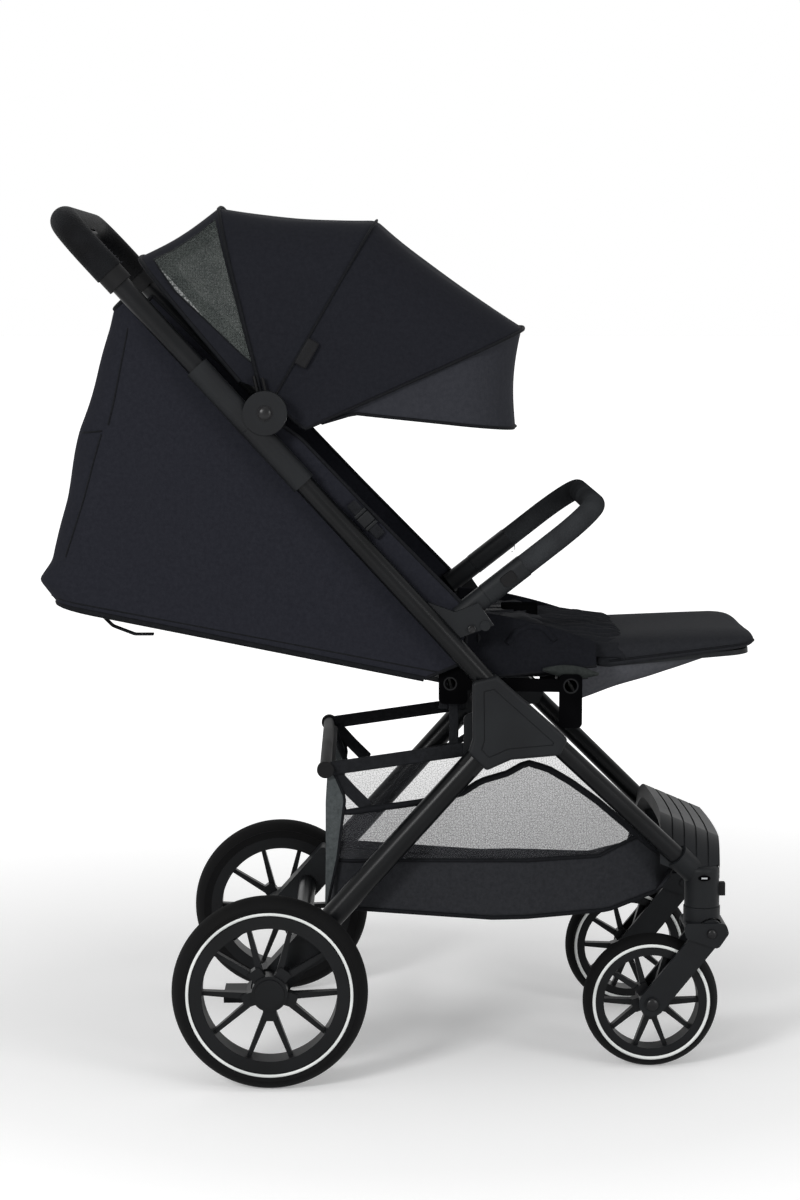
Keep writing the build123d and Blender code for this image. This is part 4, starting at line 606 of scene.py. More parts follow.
def visor_point(u, v):
    """u runs down from the canopy's edge to the visor's hem, v from the right tail to the left."""
    upper = chord_radius(COVER_STATIONS, FRONT_EDGE) - VISOR_INSET
    across, out = arch_point(v, upper, VISOR_TAIL_R, half=ARCH_HALF - VISOR_INSET)
    over = min(1.0, out / upper)
    reach = share_of(out, VISOR_KNEE_R, upper)
    tail = share_of(out, VISOR_TAIL_R, VISOR_KNEE_R)
    belly = math.sin(math.pi * u)
    at = on_fan(FRONT_EDGE, across, out)
    at.z -= edge_drop(out, over)
    at += Vector((-VISOR_LEAN * reach, 0, -between((1 + 6 * tail) * MM, VISOR_DROP, reach))) * u
    at.x -= VISOR_HOLLOW * belly * over
    at.y *= 1 - VISOR_WAIST * belly * (1 - over)
    at += Vector((ripple(at, 55, 2.2, (1, 1.6, 0.4)), ripple(at, 60, 1.5), 0))
    return at


visor = sheet("canopy_visor_cloth", 24, 96, visor_point, lit_visor_cloth, thickness_mm=1.4)
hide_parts("canopy_visor")

# %% [markdown]
# Behind the rear bow the hood has a net window on each side, framed by cloth. Some rows and columns
# of the grid are laid along the frame, so the net ends on a clean line.

# %% Rear hood with its windows
HOOD_HEM_FRONT = 30 * MM
HOOD_HEM_REAR = 46 * MM
HOOD_SAG = 4 * MM
HOOD_WAIST = 0.015
WINDOW_LOW = ((REAR_BOW, 57.5), (HOOD_EDGE, 255))
WINDOW_TOP_BAND = 15 * MM
WINDOW_LEAST = 8 * MM
HOOD_COLUMNS, HOOD_ROWS = 24, 100
WINDOW_COLUMNS = (1, 21)
WINDOW_ROWS = (14, 40)


def share_at_out(out, radius, hem):
    """The share of an arch, from its right hem, that lies at a distance out from the hinge."""
    low, high = 0.0, 0.5
    for _ in range(24):
        middle = (low + high) / 2
        low, high = (middle, high) if arch_point(middle, radius, hem)[1] < out else (low, middle)
    return low


def hood_point(u, v):
    """u runs back from the rear bow to the hood's rear edge, v from the right hem to the left."""
    angle = between(REAR_BOW, HOOD_EDGE, u)
    radius = chord_radius(HOOD_STATIONS, angle)
    hem = between(HOOD_HEM_FRONT, HOOD_HEM_REAR, u)
    window_top = radius - WINDOW_TOP_BAND
    window_low = min(chord_radius(WINDOW_LOW, angle), window_top - WINDOW_LEAST)
    frame_line = [(0, 0)]
    for row, out in zip(WINDOW_ROWS, (window_low, window_top)):
        frame_line.append((row / HOOD_ROWS, share_at_out(out, radius, hem)))
    share = level([*frame_line, (0.5, 0.5)], min(v, 1 - v))
    across, out = arch_point(share if v < 0.5 else 1 - share, radius, hem)
    slack = math.sin(math.pi * u)
    at = on_fan(angle, across, out - HOOD_SAG * slack)
    at.y *= 1 - HOOD_WAIST * slack
    return at


hood = sheet("canopy_rear_hood", HOOD_COLUMNS, HOOD_ROWS, hood_point, canopy_cloth, None, 1.2)
hood.data.materials.append(window_net)
for face in hood.data.polygons:
    column, row = grid_place(hood, face, HOOD_COLUMNS, HOOD_ROWS)
    inside = WINDOW_COLUMNS[0] < column < WINDOW_COLUMNS[1]
    face.material_index = int(inside and WINDOW_ROWS[0] < min(row, HOOD_ROWS - row) < WINDOW_ROWS[1])
side_map(hood)
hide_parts("canopy_rear_panel")

# %% [markdown]
# The gores are joined by taped seams over the bows, and every free edge is bound. Each is a thin cord
# that follows its line of the cloth, a little proud of it.

# %% Canopy seams
SEAM_LIFT = 0.6 * MM


def arch_line(angle, radius_mm, hem, drops=False):
    """Points over an arch, a little proud of the cloth."""
    def place(share):
        across, out = arch_point(share, radius_mm * MM, hem)
        at = on_fan(angle, across * (1 + SEAM_LIFT / ARCH_HALF), out + SEAM_LIFT)
        at.z -= edge_drop(out, min(1.0, out / (radius_mm * MM))) if drops else 0
        return at
    return trace(place, 72)


def window_line(sign):
    """Points round a window's frame, a little proud of the cloth."""
    front, rear = (k / HOOD_COLUMNS for k in WINDOW_COLUMNS)
    low, top = (k / HOOD_ROWS for k in WINDOW_ROWS)
    corners = in_mm((front, low), (rear, low), (rear, top), (front, top))
    line = []
    for a, b in zip(corners, corners[1:] + corners[:1]):
        for k in range(16):
            u, v = a.lerp(b, k / 16) / MM
            line.append(hood_point(u, v if sign < 0 else 1 - v) + Vector((0, sign * SEAM_LIFT, 0)))
    return line


rear_seam = piping("seam_rear_bow", arch_line(REAR_BOW, REAR_BOW_R, HEM_R), 2.2)
mid_seam = piping("seam_mid_bow", arch_line(MID_BOW, MID_BOW_R, HEM_R), 1.4)
edge_seam = piping("seam_front_edge", arch_line(FRONT_EDGE, FRONT_EDGE_R, HEM_R, drops=True), 1.8)
hood_binding = piping("hood_rear_binding", arch_line(HOOD_EDGE, HOOD_EDGE_R, HOOD_HEM_REAR), 2.6)
cover_hems = [
    piping(f"cover_hem_{side}", trace(lambda u: cover_point(u, sign > 0), 48), 2.2) for side, sign in SIDES
]
visor_hem = piping("visor_hem", trace(lambda v: visor_point(1, v), 72), 2.0)
window_rim = [piping(f"window_rim_{side}", window_line(sign), 1.2, closed=True) for side, sign in SIDES]
print("canopy seams", 5 + len(cover_hems) + len(window_rim))

# %% [markdown]
# A small bare tag is caught in the middle seam, low on the near side, and two zip pulls hang where
# the hood meets the hinge.

# %% Tag and zip pulls
TAG_WIDE = 15 * MM
TAG_FROM, TAG_TO = 66, 100
ZIP_PULLS = ((108, 44), (95, 40))


def tag_point(u, v):
    """u runs along the seam, out from the hinge, and v forward from the seam."""
    at = on_fan(MID_BOW, -ARCH_HALF - 1.2 * MM, between(TAG_FROM, TAG_TO, u) * MM)
    return at + fan_way(MID_BOW - 90) * TAG_WIDE * v + Vector((0, -1.5 * MM * v, 0))


tag = sheet("canopy_tag", 8, 4, tag_point, tag_cloth, thickness_mm=0.9, offset=0)
zip_pulls = []
for number, (angle, out) in enumerate(ZIP_PULLS):
    top = on_fan(angle, -ARCH_HALF - 3 * MM, out * MM)
    foot = top + Vector((4, -1.5, -17)) * MM
    line = trace(lambda t: top.lerp(foot, t), 6)
    zip_pulls.append(piping(f"zip_pull_{number}", line, 2.0, material=soft_rubber))
cover_trims = [rear_seam, mid_seam, edge_seam, *cover_hems, tag]
hood_trims = [hood_binding, *window_rim, *zip_pulls]
for soft_piece in (cover, visor, hood, visor_hem, *cover_trims, *hood_trims):
    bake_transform(soft_piece)

# %% [markdown]
# ## The seat shell
# The cloth sides and back hang from the main tubes down to the edge of the backrest. In plan it is
# a U with round corners; each row of the grid is one such U, from the hem up to the tubes. Between
# the hinge and the seat the sides reach past the tubes as wings.

# %% Seat shell
LEAN = math.radians(47.5)
HINGE_TO_TUBE = 22.5


def on_tube(run, front):
    """A point beside the main tube, in X and Z: run up the tube from the hinge, front ahead of its rear."""
    x = hinge_at.x / MM + (front - HINGE_TO_TUBE) * math.sin(LEAN) - run * math.cos(LEAN)
    z = hinge_at.z / MM + (front - HINGE_TO_TUBE) * math.cos(LEAN) + run * math.sin(LEAN)
    return Vector((x, z)) * MM


HEM_FRONT = Vector((28, 478)) * MM
WING_LINE = ((-372, -4), (-346, 22), (-316, 40), (-150, 34), (-50, 32), (-14, 24), (4, 4), (206, -4))
SHELL_FRONT = [HEM_FRONT] + [on_tube(*p) for p in WING_LINE]
SHELL_REAR = in_mm((-404, 565), (-425, 592), (-410, 614), (-392, 690), (-375, 769), (-331, 909))
SHELL_HALF = 193 * MM
SHELL_CORNER = 46 * MM
SHELL_HOLLOW = 2.6 * MM


def shell_row(v):
    """A row's front and rear, the run between them, its corners' radius, and half its back and its length."""
    front, rear = along(SHELL_FRONT, v), along(SHELL_REAR, v)
    side_run = max((front - rear).length, 0.02)
    corner = min(SHELL_CORNER, side_run * 0.8)
    back = SHELL_HALF - corner
    return front, rear, side_run, corner, back, side_run - corner + corner * math.pi / 2 + back


def shell_point(u, v):
    """u runs from the right tube round the back to the left tube, v from the hem to the top."""
    front, rear, side_run, corner, back, half_row = shell_row(v)
    across, set_back = round_u(abs(2 * u - 1) * half_row, back, corner)
    side = -1 if u < 0.5 else 1
    flat = rear.lerp(front, set_back / side_run)
    at = Vector((flat.x, side * across, flat.y))
    calm = min(1.0, 6 * min(v, 1 - v)) * min(1.0, 8 * (1 - set_back / side_run))
    on_side = max(0.0, (across - back) / corner)
    at.y -= side * (ripple(at, 120, 3.0, (1, 1, 0.6)) + SHELL_HOLLOW) * calm * on_side
    at.x += ripple(at, 110, 5, (1, 0.7, 1.3)) * calm * (1 - 0.8 * on_side)
    return at


def shell_share(v, set_back):
    """The share u of a row, on the right, that lies a distance ahead of the shell's back."""
    corner, back, half_row = shell_row(v)[3:]
    run = back + corner * math.acos(max(0, 1 - set_back / corner)) + max(0, set_back - corner)
    return 0.5 - run / (2 * half_row)


shell = sheet("seat_shell_cloth", 120, 64, shell_point, shell_cloth, "chassis", 1.8, 0)
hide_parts("seat_shell")

# %% [markdown]
# The shell is bound all round. On each side a zip lets air in at the back, and a seam runs on from it
# to the top.

# %% Shell seams
SHELL_BANDS = (("binding", 0, 3.6), ("top_binding", 1, 2.6), ("hem_seam", 0.03, 1.3))
SHELL_SEAMS = (("zip", 0.19, 0.59, 17, 29), ("zip_top", 0.59, 0.60, 5, 29), ("back_seam", 0.62, 0.93, 34, 24))
SEAM_PROUD = 0.8 * MM
shell_trims = [
    piping(f"seat_shell_{band}", trace(lambda u: shell_point(u, v), 90), radius, "chassis")
    for band, v, radius in SHELL_BANDS
]
for side, sign in SIDES:
    end = int(sign > 0)
    wing = trace(lambda v: shell_point(end, v), 90)
    shell_trims.append(piping(f"seat_shell_wing_binding_{side}", wing, 2.2, "chassis"))
    for seam, low, high, low_back, high_back in SHELL_SEAMS:
        line = []
        for k in range(31):
            v = between(low, high, k / 30)
            u = shell_share(v, between(low_back, high_back, k / 30) * MM)
            line.append(shell_point(abs(end - u), v) + Vector((0, sign * SEAM_PROUD, 0)))
        shell_trims.append(piping(f"seat_shell_{seam}_{side}", line, 1.1, "chassis"))


def flatten(*soft_pieces):
    """Gives each piece its own copy of its mesh."""
    for soft_piece in soft_pieces:
        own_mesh(soft_piece)


flatten(shell, *shell_trims)
print("shell trims", len(shell_trims))

# %% [markdown]
# ## The padding
# The pads are foam in a stretch cover. Each starts as a copy of its CAD solid, is remeshed evenly
# and blown up a little as cloth, which rounds the corners and pulls the sides in. The motion is
# capped, so the pad keeps its size, and the wrinkles are pressed in afterwards.

# %% Pad helpers
PAD_SHRINK = 1.5 * MM
PAD_PRESSURE = 4.0
PAD_FRAMES = 20


def blown_pad(node, body, voxel_mm, cap_mm, depth_of):
    """A pad made from a CAD solid: evenly remeshed, swelled as cloth within a cap, then wrinkled."""
    copy = nodes[node].data.copy()
    bm = bmesh.new()
    bm.from_mesh(copy)
    bpy.data.meshes.remove(copy)
    bmesh.ops.remove_doubles(bm, verts=bm.verts, dist=0.05 * MM)
    bmesh.ops.recalc_face_normals(bm, faces=bm.faces)
    pad = piece(bm, f"{node}_cover", pad_cloth)
    bpy.context.view_layer.objects.active = pad
    remesh = pad.modifiers.new("even", "REMESH")
    remesh.mode = "VOXEL"
    remesh.voxel_size = voxel_mm * MM
    bpy.ops.object.select_all(action="DESELECT")
    pad.select_set(True)
    bpy.ops.object.modifier_apply(modifier="even")
    press(pad, lambda at, normal: -PAD_SHRINK)
    rest = [v.co.copy() for v in pad.data.vertices]
    cloth = pad.modifiers.new("swell", "CLOTH")
    cloth.settings.use_pressure = True
    cloth.settings.uniform_pressure_force = PAD_PRESSURE
    cloth.settings.effector_weights.gravity = 0
    cloth.settings.quality = 4
    cloth.settings.tension_stiffness = 12
    cloth.settings.bending_stiffness = 0.4
    for k in range(1, PAD_FRAMES + 1):
        bpy.context.scene.frame_set(k)
    bpy.ops.object.modifier_apply(modifier="swell")
    bpy.context.scene.frame_set(1)
    for vert, home in zip(pad.data.vertices, rest):
        move = vert.co - home
        if move.length > cap_mm * MM:
            vert.co = home + move.normalized() * cap_mm * MM
    pad.data.polygons.foreach_set("use_smooth", [True] * len(pad.data.polygons))
    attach(pad, body)
    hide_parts(node)
    press(pad, depth_of)
    print("pad", pad.name, len(pad.data.polygons))


def press(pad, depth_of):
    """Moves each point of a pad along its normal by a height worked out at the point."""
    for vert, normal in zip(pad.data.vertices, [v.normal.copy() for v in pad.data.vertices]):
        vert.co += normal * depth_of(vert.co, normal)


# %% Seat and backrest pads
GATHER_PITCH = 11 * MM
GATHER_DEPTH = 1.8 * MM


def gathered(at, normal):
    """Gathers that run out from the middle of the seat towards its front corners."""
    flow = at.x * 0.55 + abs(at.y) * 0.16
    wave = math.sin(flow / GATHER_PITCH + 3 * noise.noise(at / (40 * MM)))
    return wave * GATHER_DEPTH * max(0.0, normal.z + 0.35)


def creased(at, normal):
    """Shallow creases on the face of the backrest."""
    return ripple(at, 45, 1.5, (0.6, 1.4, 1)) * max(0.0, normal.z)


blown_pad("seat_pad", "chassis", voxel_mm=5, cap_mm=7, depth_of=gathered)
blown_pad("backrest_pad", "backrest", voxel_mm=6, cap_mm=6, depth_of=creased)

# %% [markdown]
# The calf pad is a plain foam cushion. Its sections are rounded boxes whose widest line carries the
# piping, and they shrink to a round nose at the tip.

# %% Calf pad
CALF_FROM, CALF_TIP = 236, 426
CALF_HALF = 141
CALF_NOSE = 30
NOSE_DRAW_IN = 34
CALF_SEAM_Z = (490, 513.5)
CALF_TOP_Z = (519, 525)
CALF_FALL = (12, 7.5)
CALF_HEEL = 30


def calf_section(x, angle):
    """A point of the calf pad's skin, in metres: x along it in millimetres, and an angle round it."""
    share = (x - CALF_FROM) / (CALF_TIP - CALF_FROM)
    seam = between(*CALF_SEAM_Z, share)
    rise = between(*CALF_TOP_Z, share) - seam
    fall = between(*CALF_FALL, share)
    past = share_of(x, CALF_TIP - CALF_NOSE, CALF_TIP)
    end = math.sqrt(1 - past * past)
    half = CALF_HALF - NOSE_DRAW_IN * (1 - end)
    back = min(1.0, 0.55 + (x - CALF_FROM) / CALF_HEEL)
    c, d = math.cos(angle), math.sin(angle)
    y = half * math.copysign(abs(c) ** 0.3, c)
    up = math.copysign(abs(d) ** 0.6, d)
    z = seam + up * (rise if d > 0 else fall) * max(end, 0.02) ** 0.5 * back
    at = Vector((x, y, z)) * MM
    at.z += ripple(at, 55, 1.6, (0.8, 0.8, 1)) * max(0.0, d)
    return at


def calf_run(start, stop, share):
    """A place along the pad, with more of them where the nose curves."""
    return between(start, stop, 1 - (1 - share) ** 1.6)


def calf_skin(u, v):
    return calf_section(calf_run(CALF_FROM, CALF_TIP - 0.2, u), 2 * math.pi * v)


calf_bm = cloth_grid(60, 120, calf_skin)[0]
bmesh.ops.remove_doubles(calf_bm, verts=calf_bm.verts, dist=0.02 * MM)
bmesh.ops.holes_fill(calf_bm, edges=[e for e in calf_bm.edges if e.is_boundary])
bmesh.ops.recalc_face_normals(calf_bm, faces=calf_bm.faces)
calf_pad = piece(calf_bm, "calf_pad_cover", lit_calf_cloth, "legrest")
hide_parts("legrest_pad")
calf_line = trace(lambda t: calf_section(calf_run(CALF_FROM + 14, CALF_TIP - 0.5, t), math.pi), 60)
calf_line += [Vector((p.x, -p.y, p.z)) for p in reversed(calf_line)]
piping("calf_pad_piping", calf_line, 1.5, "legrest")
print("calf pad", len(calf_pad.data.polygons))

# %% [markdown]
# The seat has a gathered cover. It is sewn to the calf pad and drawn in there, so its folds run
# forward and crowd together at the seam.

# %% Gathered seat cover
COVER_FROM, COVER_TO = 92, 268
COVER_HALF = (160, 143)
COVER_Z = ((0, 541), (0.55, 529), (1, 521))
FOLD_MM = 17
FOLD_DEPTH = 2.8
SWELL_DEPTH = 3.6
EDGE_FALL = 26
PINCH_RUN = 9
PINCH_DEPTH = 5


def seat_cover_point(u, v):
    """u runs from the backrest forward to the calf pad's seam, v from right to left."""
    x = between(COVER_FROM, COVER_TO, u)
    across = between(-1, 1, v)
    y = across * between(*COVER_HALF, u)
    crown = math.sqrt(max(0.0, 1 - abs(across) ** 5))
    z = level(COVER_Z, u) - EDGE_FALL * (1 - crown)
    drift = 9 * noise.noise(Vector((x / 38, y / 60, 1.7))) + 0.22 * x * across
    wave = math.sin(2 * math.pi * (y + drift) / FOLD_MM)
    swell = noise.noise(Vector((x / 30, y / 26, 7.1)))
    z += (wave * FOLD_DEPTH * min(1, 3 * u) + swell * SWELL_DEPTH) * between(0.35, 1, crown)
    z -= PINCH_DEPTH * share_of(x, COVER_TO - PINCH_RUN, COVER_TO) ** 2
    return Vector((x, y, z)) * MM


seat_cover = sheet("seat_cover", 72, 128, seat_cover_point, pad_cloth, None, 2.4, 0)
knee_line = trace(lambda t: seat_cover_point(1, between(0.03, 0.97, t)), 60)
knee_seam = piping("knee_seam", knee_line, 1.6)
for soft_piece in (seat_cover, knee_seam):
    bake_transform(soft_piece)

# %% [markdown]
# Cloth panels close the seat: a smooth one over each hip, a leaf-shaped tab at its foot, and a plain
# panel under the calf.

# %% Seat side panels
PANEL_FROM, PANEL_TO = 78, 232
PANEL_LOW_Z = (474, 490)
PANEL_TOP_Z = (551, 516)
PANEL_FOOT_Y = 174
PANEL_TOP_Y = (140, 152)
HIP_FOLD = ((127, 515), (139, 529), (155, 534), (169, 532), (184, 518))
TAB_FROM, TAB_TO = 168, 234
TAB_HALF = 7.5
TAB_Y = 180
TAB_Z = (487, 481)


def panel_edges(u):
    """The lower and the upper edge of a hip panel at a share of its length, in millimetres."""
    return between(*PANEL_LOW_Z, u), between(*PANEL_TOP_Z, u ** 1.6)


def panel_point(sign, u, v):
    """u runs forward along a hip panel, v up from its foot."""
    y = between(PANEL_FOOT_Y, between(*PANEL_TOP_Y, u), v ** 1.5)
    at = Vector((between(PANEL_FROM, PANEL_TO, u), sign * y, between(*panel_edges(u), v))) * MM
    at.y -= sign * ripple(at, 28, 4.5, (1, 1, 0.45)) * math.sin(math.pi * v)
    return at


def on_panel(sign, x, z):
    """The point of a hip panel at a place along it and a height, in millimetres."""
    u = (x - PANEL_FROM) / (PANEL_TO - PANEL_FROM)
    low, top = panel_edges(u)
    return panel_point(sign, u, min(1.0, (z - low) / (top - low)))


def tab_point(sign, u, v):
    """u runs forward along a leaf tab, v up across it."""
    half = TAB_HALF * math.sin(math.pi * min(0.97, max(0.03, u))) ** 0.8
    y = TAB_Y - 3 * u + 3 * math.sin(math.pi * v)
    return Vector((between(TAB_FROM, TAB_TO, u), sign * y, between(*TAB_Z, u) + half * (2 * v - 1))) * MM


for side, sign in SIDES:
    panel = sheet(f"seat_side_panel_{side}", 30, 20, partial(panel_point, sign), hip_cloth, "chassis",
                  1.6, 0)
    foot_line = trace(lambda u: panel_point(sign, u, 0), 30)
    foot = piping(f"side_panel_piping_{side}", foot_line, 1.6, "chassis")
    fold_line = [on_panel(sign, *p) for p in HIP_FOLD]
    fold = piping(f"hip_fold_{side}", trace(lambda t: along(fold_line, t), 24), 4.2, "chassis", hip_cloth)
    tab = sheet(f"seat_leaf_tab_{side}", 20, 8, partial(tab_point, sign), flap_cloth, "chassis", 1.6, 0)

# %% Panel under the calf
UNDER_LINE = in_mm((204, 470), (214, 443), (390, 501))
UNDER_HALF = (136, 132)
TURN_UP_FROM = 0.86
TURN_UP_Z = 489
TURN_UP_SLOPE = 0.11


def calf_under(u, v):
    """u runs forward from the knee to the tip, v across the stroller; its sides turn up to the pad."""
    across = between(-1, 1, v)
    x, low = along(UNDER_LINE, between(0.03, 1, u)) / MM
    lift = share_of(abs(across), TURN_UP_FROM, 1)
    top = TURN_UP_Z + (x - CALF_FROM) * TURN_UP_SLOPE
    z = between(low, max(top, low), lift * lift)
    at = Vector((x, across * between(*UNDER_HALF, u), z)) * MM
    at.z += ripple(at, 40, 2.2, (1, 1.3, 1)) * math.sin(math.pi * u) * (1 - lift)
    return at


# Its pale grey colour is painted light on a face that looks down, away from the lamps.
under = sheet("calf_under_panel", 44, 64, calf_under, lit_under_cloth, "legrest", 1.6, 0)
under_edge = piping("calf_under_binding", trace(lambda v: calf_under(0, v), 60), 1.6, "legrest")

# %% [markdown]
# ## The harness
# Webbing is woven flat, so each strap is a band along a line: two over the shoulders and two at the
# hips, which meet at the buckle.

# %% Harness straps
HARNESS_MM = 24
buckle_low, buckle_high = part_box("harness_buckle")
buckle_x = (buckle_low + buckle_high).x / 2
for side, sign in SIDES:
    line = in_mm((-300, sign * 62, 588), (-200, sign * 58, 570), (-80, sign * 52, 549), (20, sign * 40, 540))
    line.append(Vector((buckle_x - 8 * MM, sign * 14 * MM, buckle_high.z - 6 * MM)))
    band = strap(f"shoulder_strap_{side}", line, (0, 1, 0), HARNESS_MM, None)
    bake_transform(band)
    line = in_mm((96, sign * 150, 536), (100, sign * 110, 535), (104, sign * 60, 537))
    line.append(Vector((buckle_x, sign * 16 * MM, buckle_high.z - 8 * MM)))
    strap(f"hip_strap_{side}", line, (1, 0, 0.1), HARNESS_MM, "chassis")

# %% [markdown]
# ## The basket
# A net tub with a cloth floor and a cloth band along the bottom, bound at the top. Its walls are one
# grid that runs round in plan, from the middle of the rear wall along one side, across the front and
# back. The rear wall hangs from the rod, and behind the seat the sides dip low.

# %% Basket form
BASKET_HALF = 178
BASKET_NOSE_HALF = 127
BASKET_REAR_X = -81
BASKET_TAPER_X = 150
BASKET_NOSE_X = 331
BASKET_PLAN = in_mm(
    (BASKET_REAR_X, 0), (BASKET_REAR_X, BASKET_HALF - 22), (BASKET_REAR_X + 6, BASKET_HALF - 6),
    (BASKET_REAR_X + 22, BASKET_HALF), (BASKET_TAPER_X, BASKET_HALF),
    (BASKET_NOSE_X - 24, BASKET_NOSE_HALF + 6), (BASKET_NOSE_X, BASKET_NOSE_HALF - 26), (BASKET_NOSE_X, 0),
)
BASKET_TOP = in_mm(
    (-81, 366), (-68, 316), (20, 328), (73, 339), (96, 354), (127, 363), (150, 376), (176, 367), (203, 350),
    (235, 326), (331, 241),
)
BASKET_FLOOR = in_mm((-83, 203), (110, 189), (250, 192), (312, 212), (331, 232))
BAND_TOP = 258 * MM
HEM_BAND = 12 * MM
LEAST_BAND = 2 * MM
FRONT_PANEL_X = 238 * MM
FRONT_PANEL_SLOPE = 2.15
NOSE_PANEL_X = (BASKET_NOSE_X - 30) * MM
BASKET_BELLY = 3 * MM
BASKET_COLUMNS, BASKET_ROWS = 170, 28
BAND_ROWS = 12
BAND_SHARE = BAND_ROWS / BASKET_ROWS


def band_height(x, side, low, high):
    """Where the cloth band ends and the net begins: deep on the right, a hem on the left."""
    top = BAND_TOP + max(0, x - FRONT_PANEL_X) / FRONT_PANEL_SLOPE if side < 0 else low + HEM_BAND
    if x > NOSE_PANEL_X:
        top = high
    return min(max(top, low + LEAST_BAND), high - LEAST_BAND)


def basket_point(u, v):
    """u runs round the plan, v from the floor edge to the rim; one row lies on the band's edge."""
    side = -1 if u < 0.5 else 1
    x, y = along(BASKET_PLAN, 2 * min(u, 1 - u))
    low, high = level(BASKET_FLOOR, x), level(BASKET_TOP, x)
    z = level(((0, low), (BAND_SHARE, band_height(x, side, low, high)), (1, high)), v)
    belly = math.sin(math.pi * (z - low) / (high - low))
    at = Vector((x, side * (y - (BASKET_BELLY * belly if y > 20 * MM else 0)), z))
    at.y += ripple(at, 60, 2.0) * belly
    return at


def floor_point(u, v):
    """u runs from the rear to the nose, v from the right side to the left, sagging in the middle."""
    x = between(BASKET_REAR_X - 1, BASKET_NOSE_X - 4, u)
    half = level(((BASKET_TAPER_X, BASKET_HALF), (BASKET_NOSE_X, BASKET_NOSE_HALF)), x)
    x, y = Vector((x, between(-half, half, v) * 0.995)) * MM
    z = level(BASKET_FLOOR, x) + 0.5 * MM
    return Vector((x, y, z + ripple((x, y, 0), 70, 1.5) * math.sin(math.pi * v)))


# %% Basket walls and floor
BINDING_LIFT = 0.8 * MM
basket_wall = sheet("basket_wall", BASKET_COLUMNS, BASKET_ROWS, basket_point, basket_net, "chassis",
                    1.2, 0, 0)
basket_wall.data.materials.append(band_cloth)
for face in basket_wall.data.polygons:
    face.material_index = int(grid_place(basket_wall, face, BASKET_COLUMNS, BASKET_ROWS)[1] < BAND_ROWS)
side_map(basket_wall)
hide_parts("basket")
basket_floor = sheet("basket_floor", 48, 36, floor_point, band_cloth, "chassis", 1.6, 0, 0)


def round_basket(name, height, radius_mm):
    """A binding all round the basket, at a share of its height."""
    line = [basket_point(k / 161, height) for k in range(161)]
    for at in line:
        at.y += math.copysign(BINDING_LIFT, at.y)
    return piping(name, line, radius_mm, "chassis", closed=True)


rim = round_basket("basket_rim_binding", 1, 4.2)
band_line = [basket_point(k / 320, BAND_SHARE) + Vector((0, -1 * MM, 0)) for k in range(28, 150)]
band_edge = piping("basket_band_binding", band_line, 2.4, "chassis")
foot = round_basket("basket_floor_binding", 0, 2.6)

# %% [markdown]
# On each side a web hanger runs from the rod to the hub, a short stay holds the wall's corner, and a
# narrow gusset closes it. Two ends of webbing hang from the seat rail.

# %% Basket webbing
GUSSET_REAR = in_mm((-86, 362), (-88, 330), (-88, 260), (-89, 205))
GUSSET_FRONT = in_mm((-77, 362), (-65, 334), (-74, 262), (-86, 205))
GUSSET_Y = BASKET_HALF + 1.5
HANGER_INSET = 1.3
STAY_INSET = 3
WEBBING_Y = 177
SEAT_WEBBING = (("long", 63, 452, 390, 11), ("short", 51, 472, 440, 10.2))


def gusset_point(sign, u, v):
    """u runs forward across a gusset, v down from the rod."""
    at = along(GUSSET_REAR, v).lerp(along(GUSSET_FRONT, v), u)
    return Vector((at.x, sign * GUSSET_Y * MM, at.y))


for side, sign in SIDES:
    y = sign * (side_face("basket_straps", 1) - HANGER_INSET)
    line = beside(y, (-86, 369), (0, 381.2), (90, 394))
    band = strap(f"basket_hanger_{side}", line, (-0.14, 0, 0.99), 16, "chassis",
                 thickness_mm=2.2)
    if sign < 0:
        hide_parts("basket_straps")
    line = beside(y - sign * STAY_INSET, (-78, 364), (-58, 342), (-38, 322))
    strap(f"basket_stay_{side}", line, (0.7, 0, 0.7), 15, "chassis",
          thickness_mm=1.8)
    gusset = sheet(f"basket_gusset_{side}", 6, 24, partial(gusset_point, sign), gusset_cloth, "chassis",
                   1.4, 0)
    edge_line = trace(lambda v: gusset_point(sign, 1, v), 24)
    edge = piping(f"gusset_binding_{side}", edge_line, 1.8, "chassis")
    for name, x, high, low, wide in SEAT_WEBBING:
        line = beside(sign * WEBBING_Y, (x, high), (x + 1, (high + low) / 2), (x, low))
        strap(f"seat_webbing_{name}_{side}", line, (1, 0, 0), wide, "chassis")

# %% [markdown]
# ## Small hardware
# Screws, rivets and stitches are what the eye reads as real. A bolt is a short cylinder with a
# bevelled head and a round socket sunk into it, and a rivet is half of an ellipsoid.

# %% Bolts and rivets
BOLT_HIGH = 2.4 * MM


def turned(start, way):
    """The turn that lays one direction along another, as a matrix."""
    return Vector(start).rotation_difference(Vector(way)).to_matrix().to_4x4()


def bolt(name, body, at_mm, way, radius_mm):
    """A cap screw whose head faces way."""
    radius = radius_mm * MM
    bm = bmesh.new()
    bmesh.ops.create_cone(bm, cap_ends=True, segments=24, radius1=radius, radius2=radius, depth=BOLT_HIGH)
    top = max(bm.faces, key=lambda f: f.calc_center_median().z)
    bmesh.ops.bevel(bm, geom=list(top.edges), offset=0.5 * MM, segments=2, affect="EDGES", profile=0.5)
    top = max(bm.faces, key=lambda f: (round(f.calc_center_median().z, 6), f.calc_area()))
    bmesh.ops.inset_region(bm, faces=[top], thickness=radius * 0.42)
    bmesh.ops.translate(bm, verts=top.verts, vec=(0, 0, -BOLT_HIGH / 2))
    bm.transform(Matrix.Translation(Vector(at_mm) * MM) @ turned((0, 0, 1), way))
    return piece(bm, name, dark_pin, body, smooth=False)


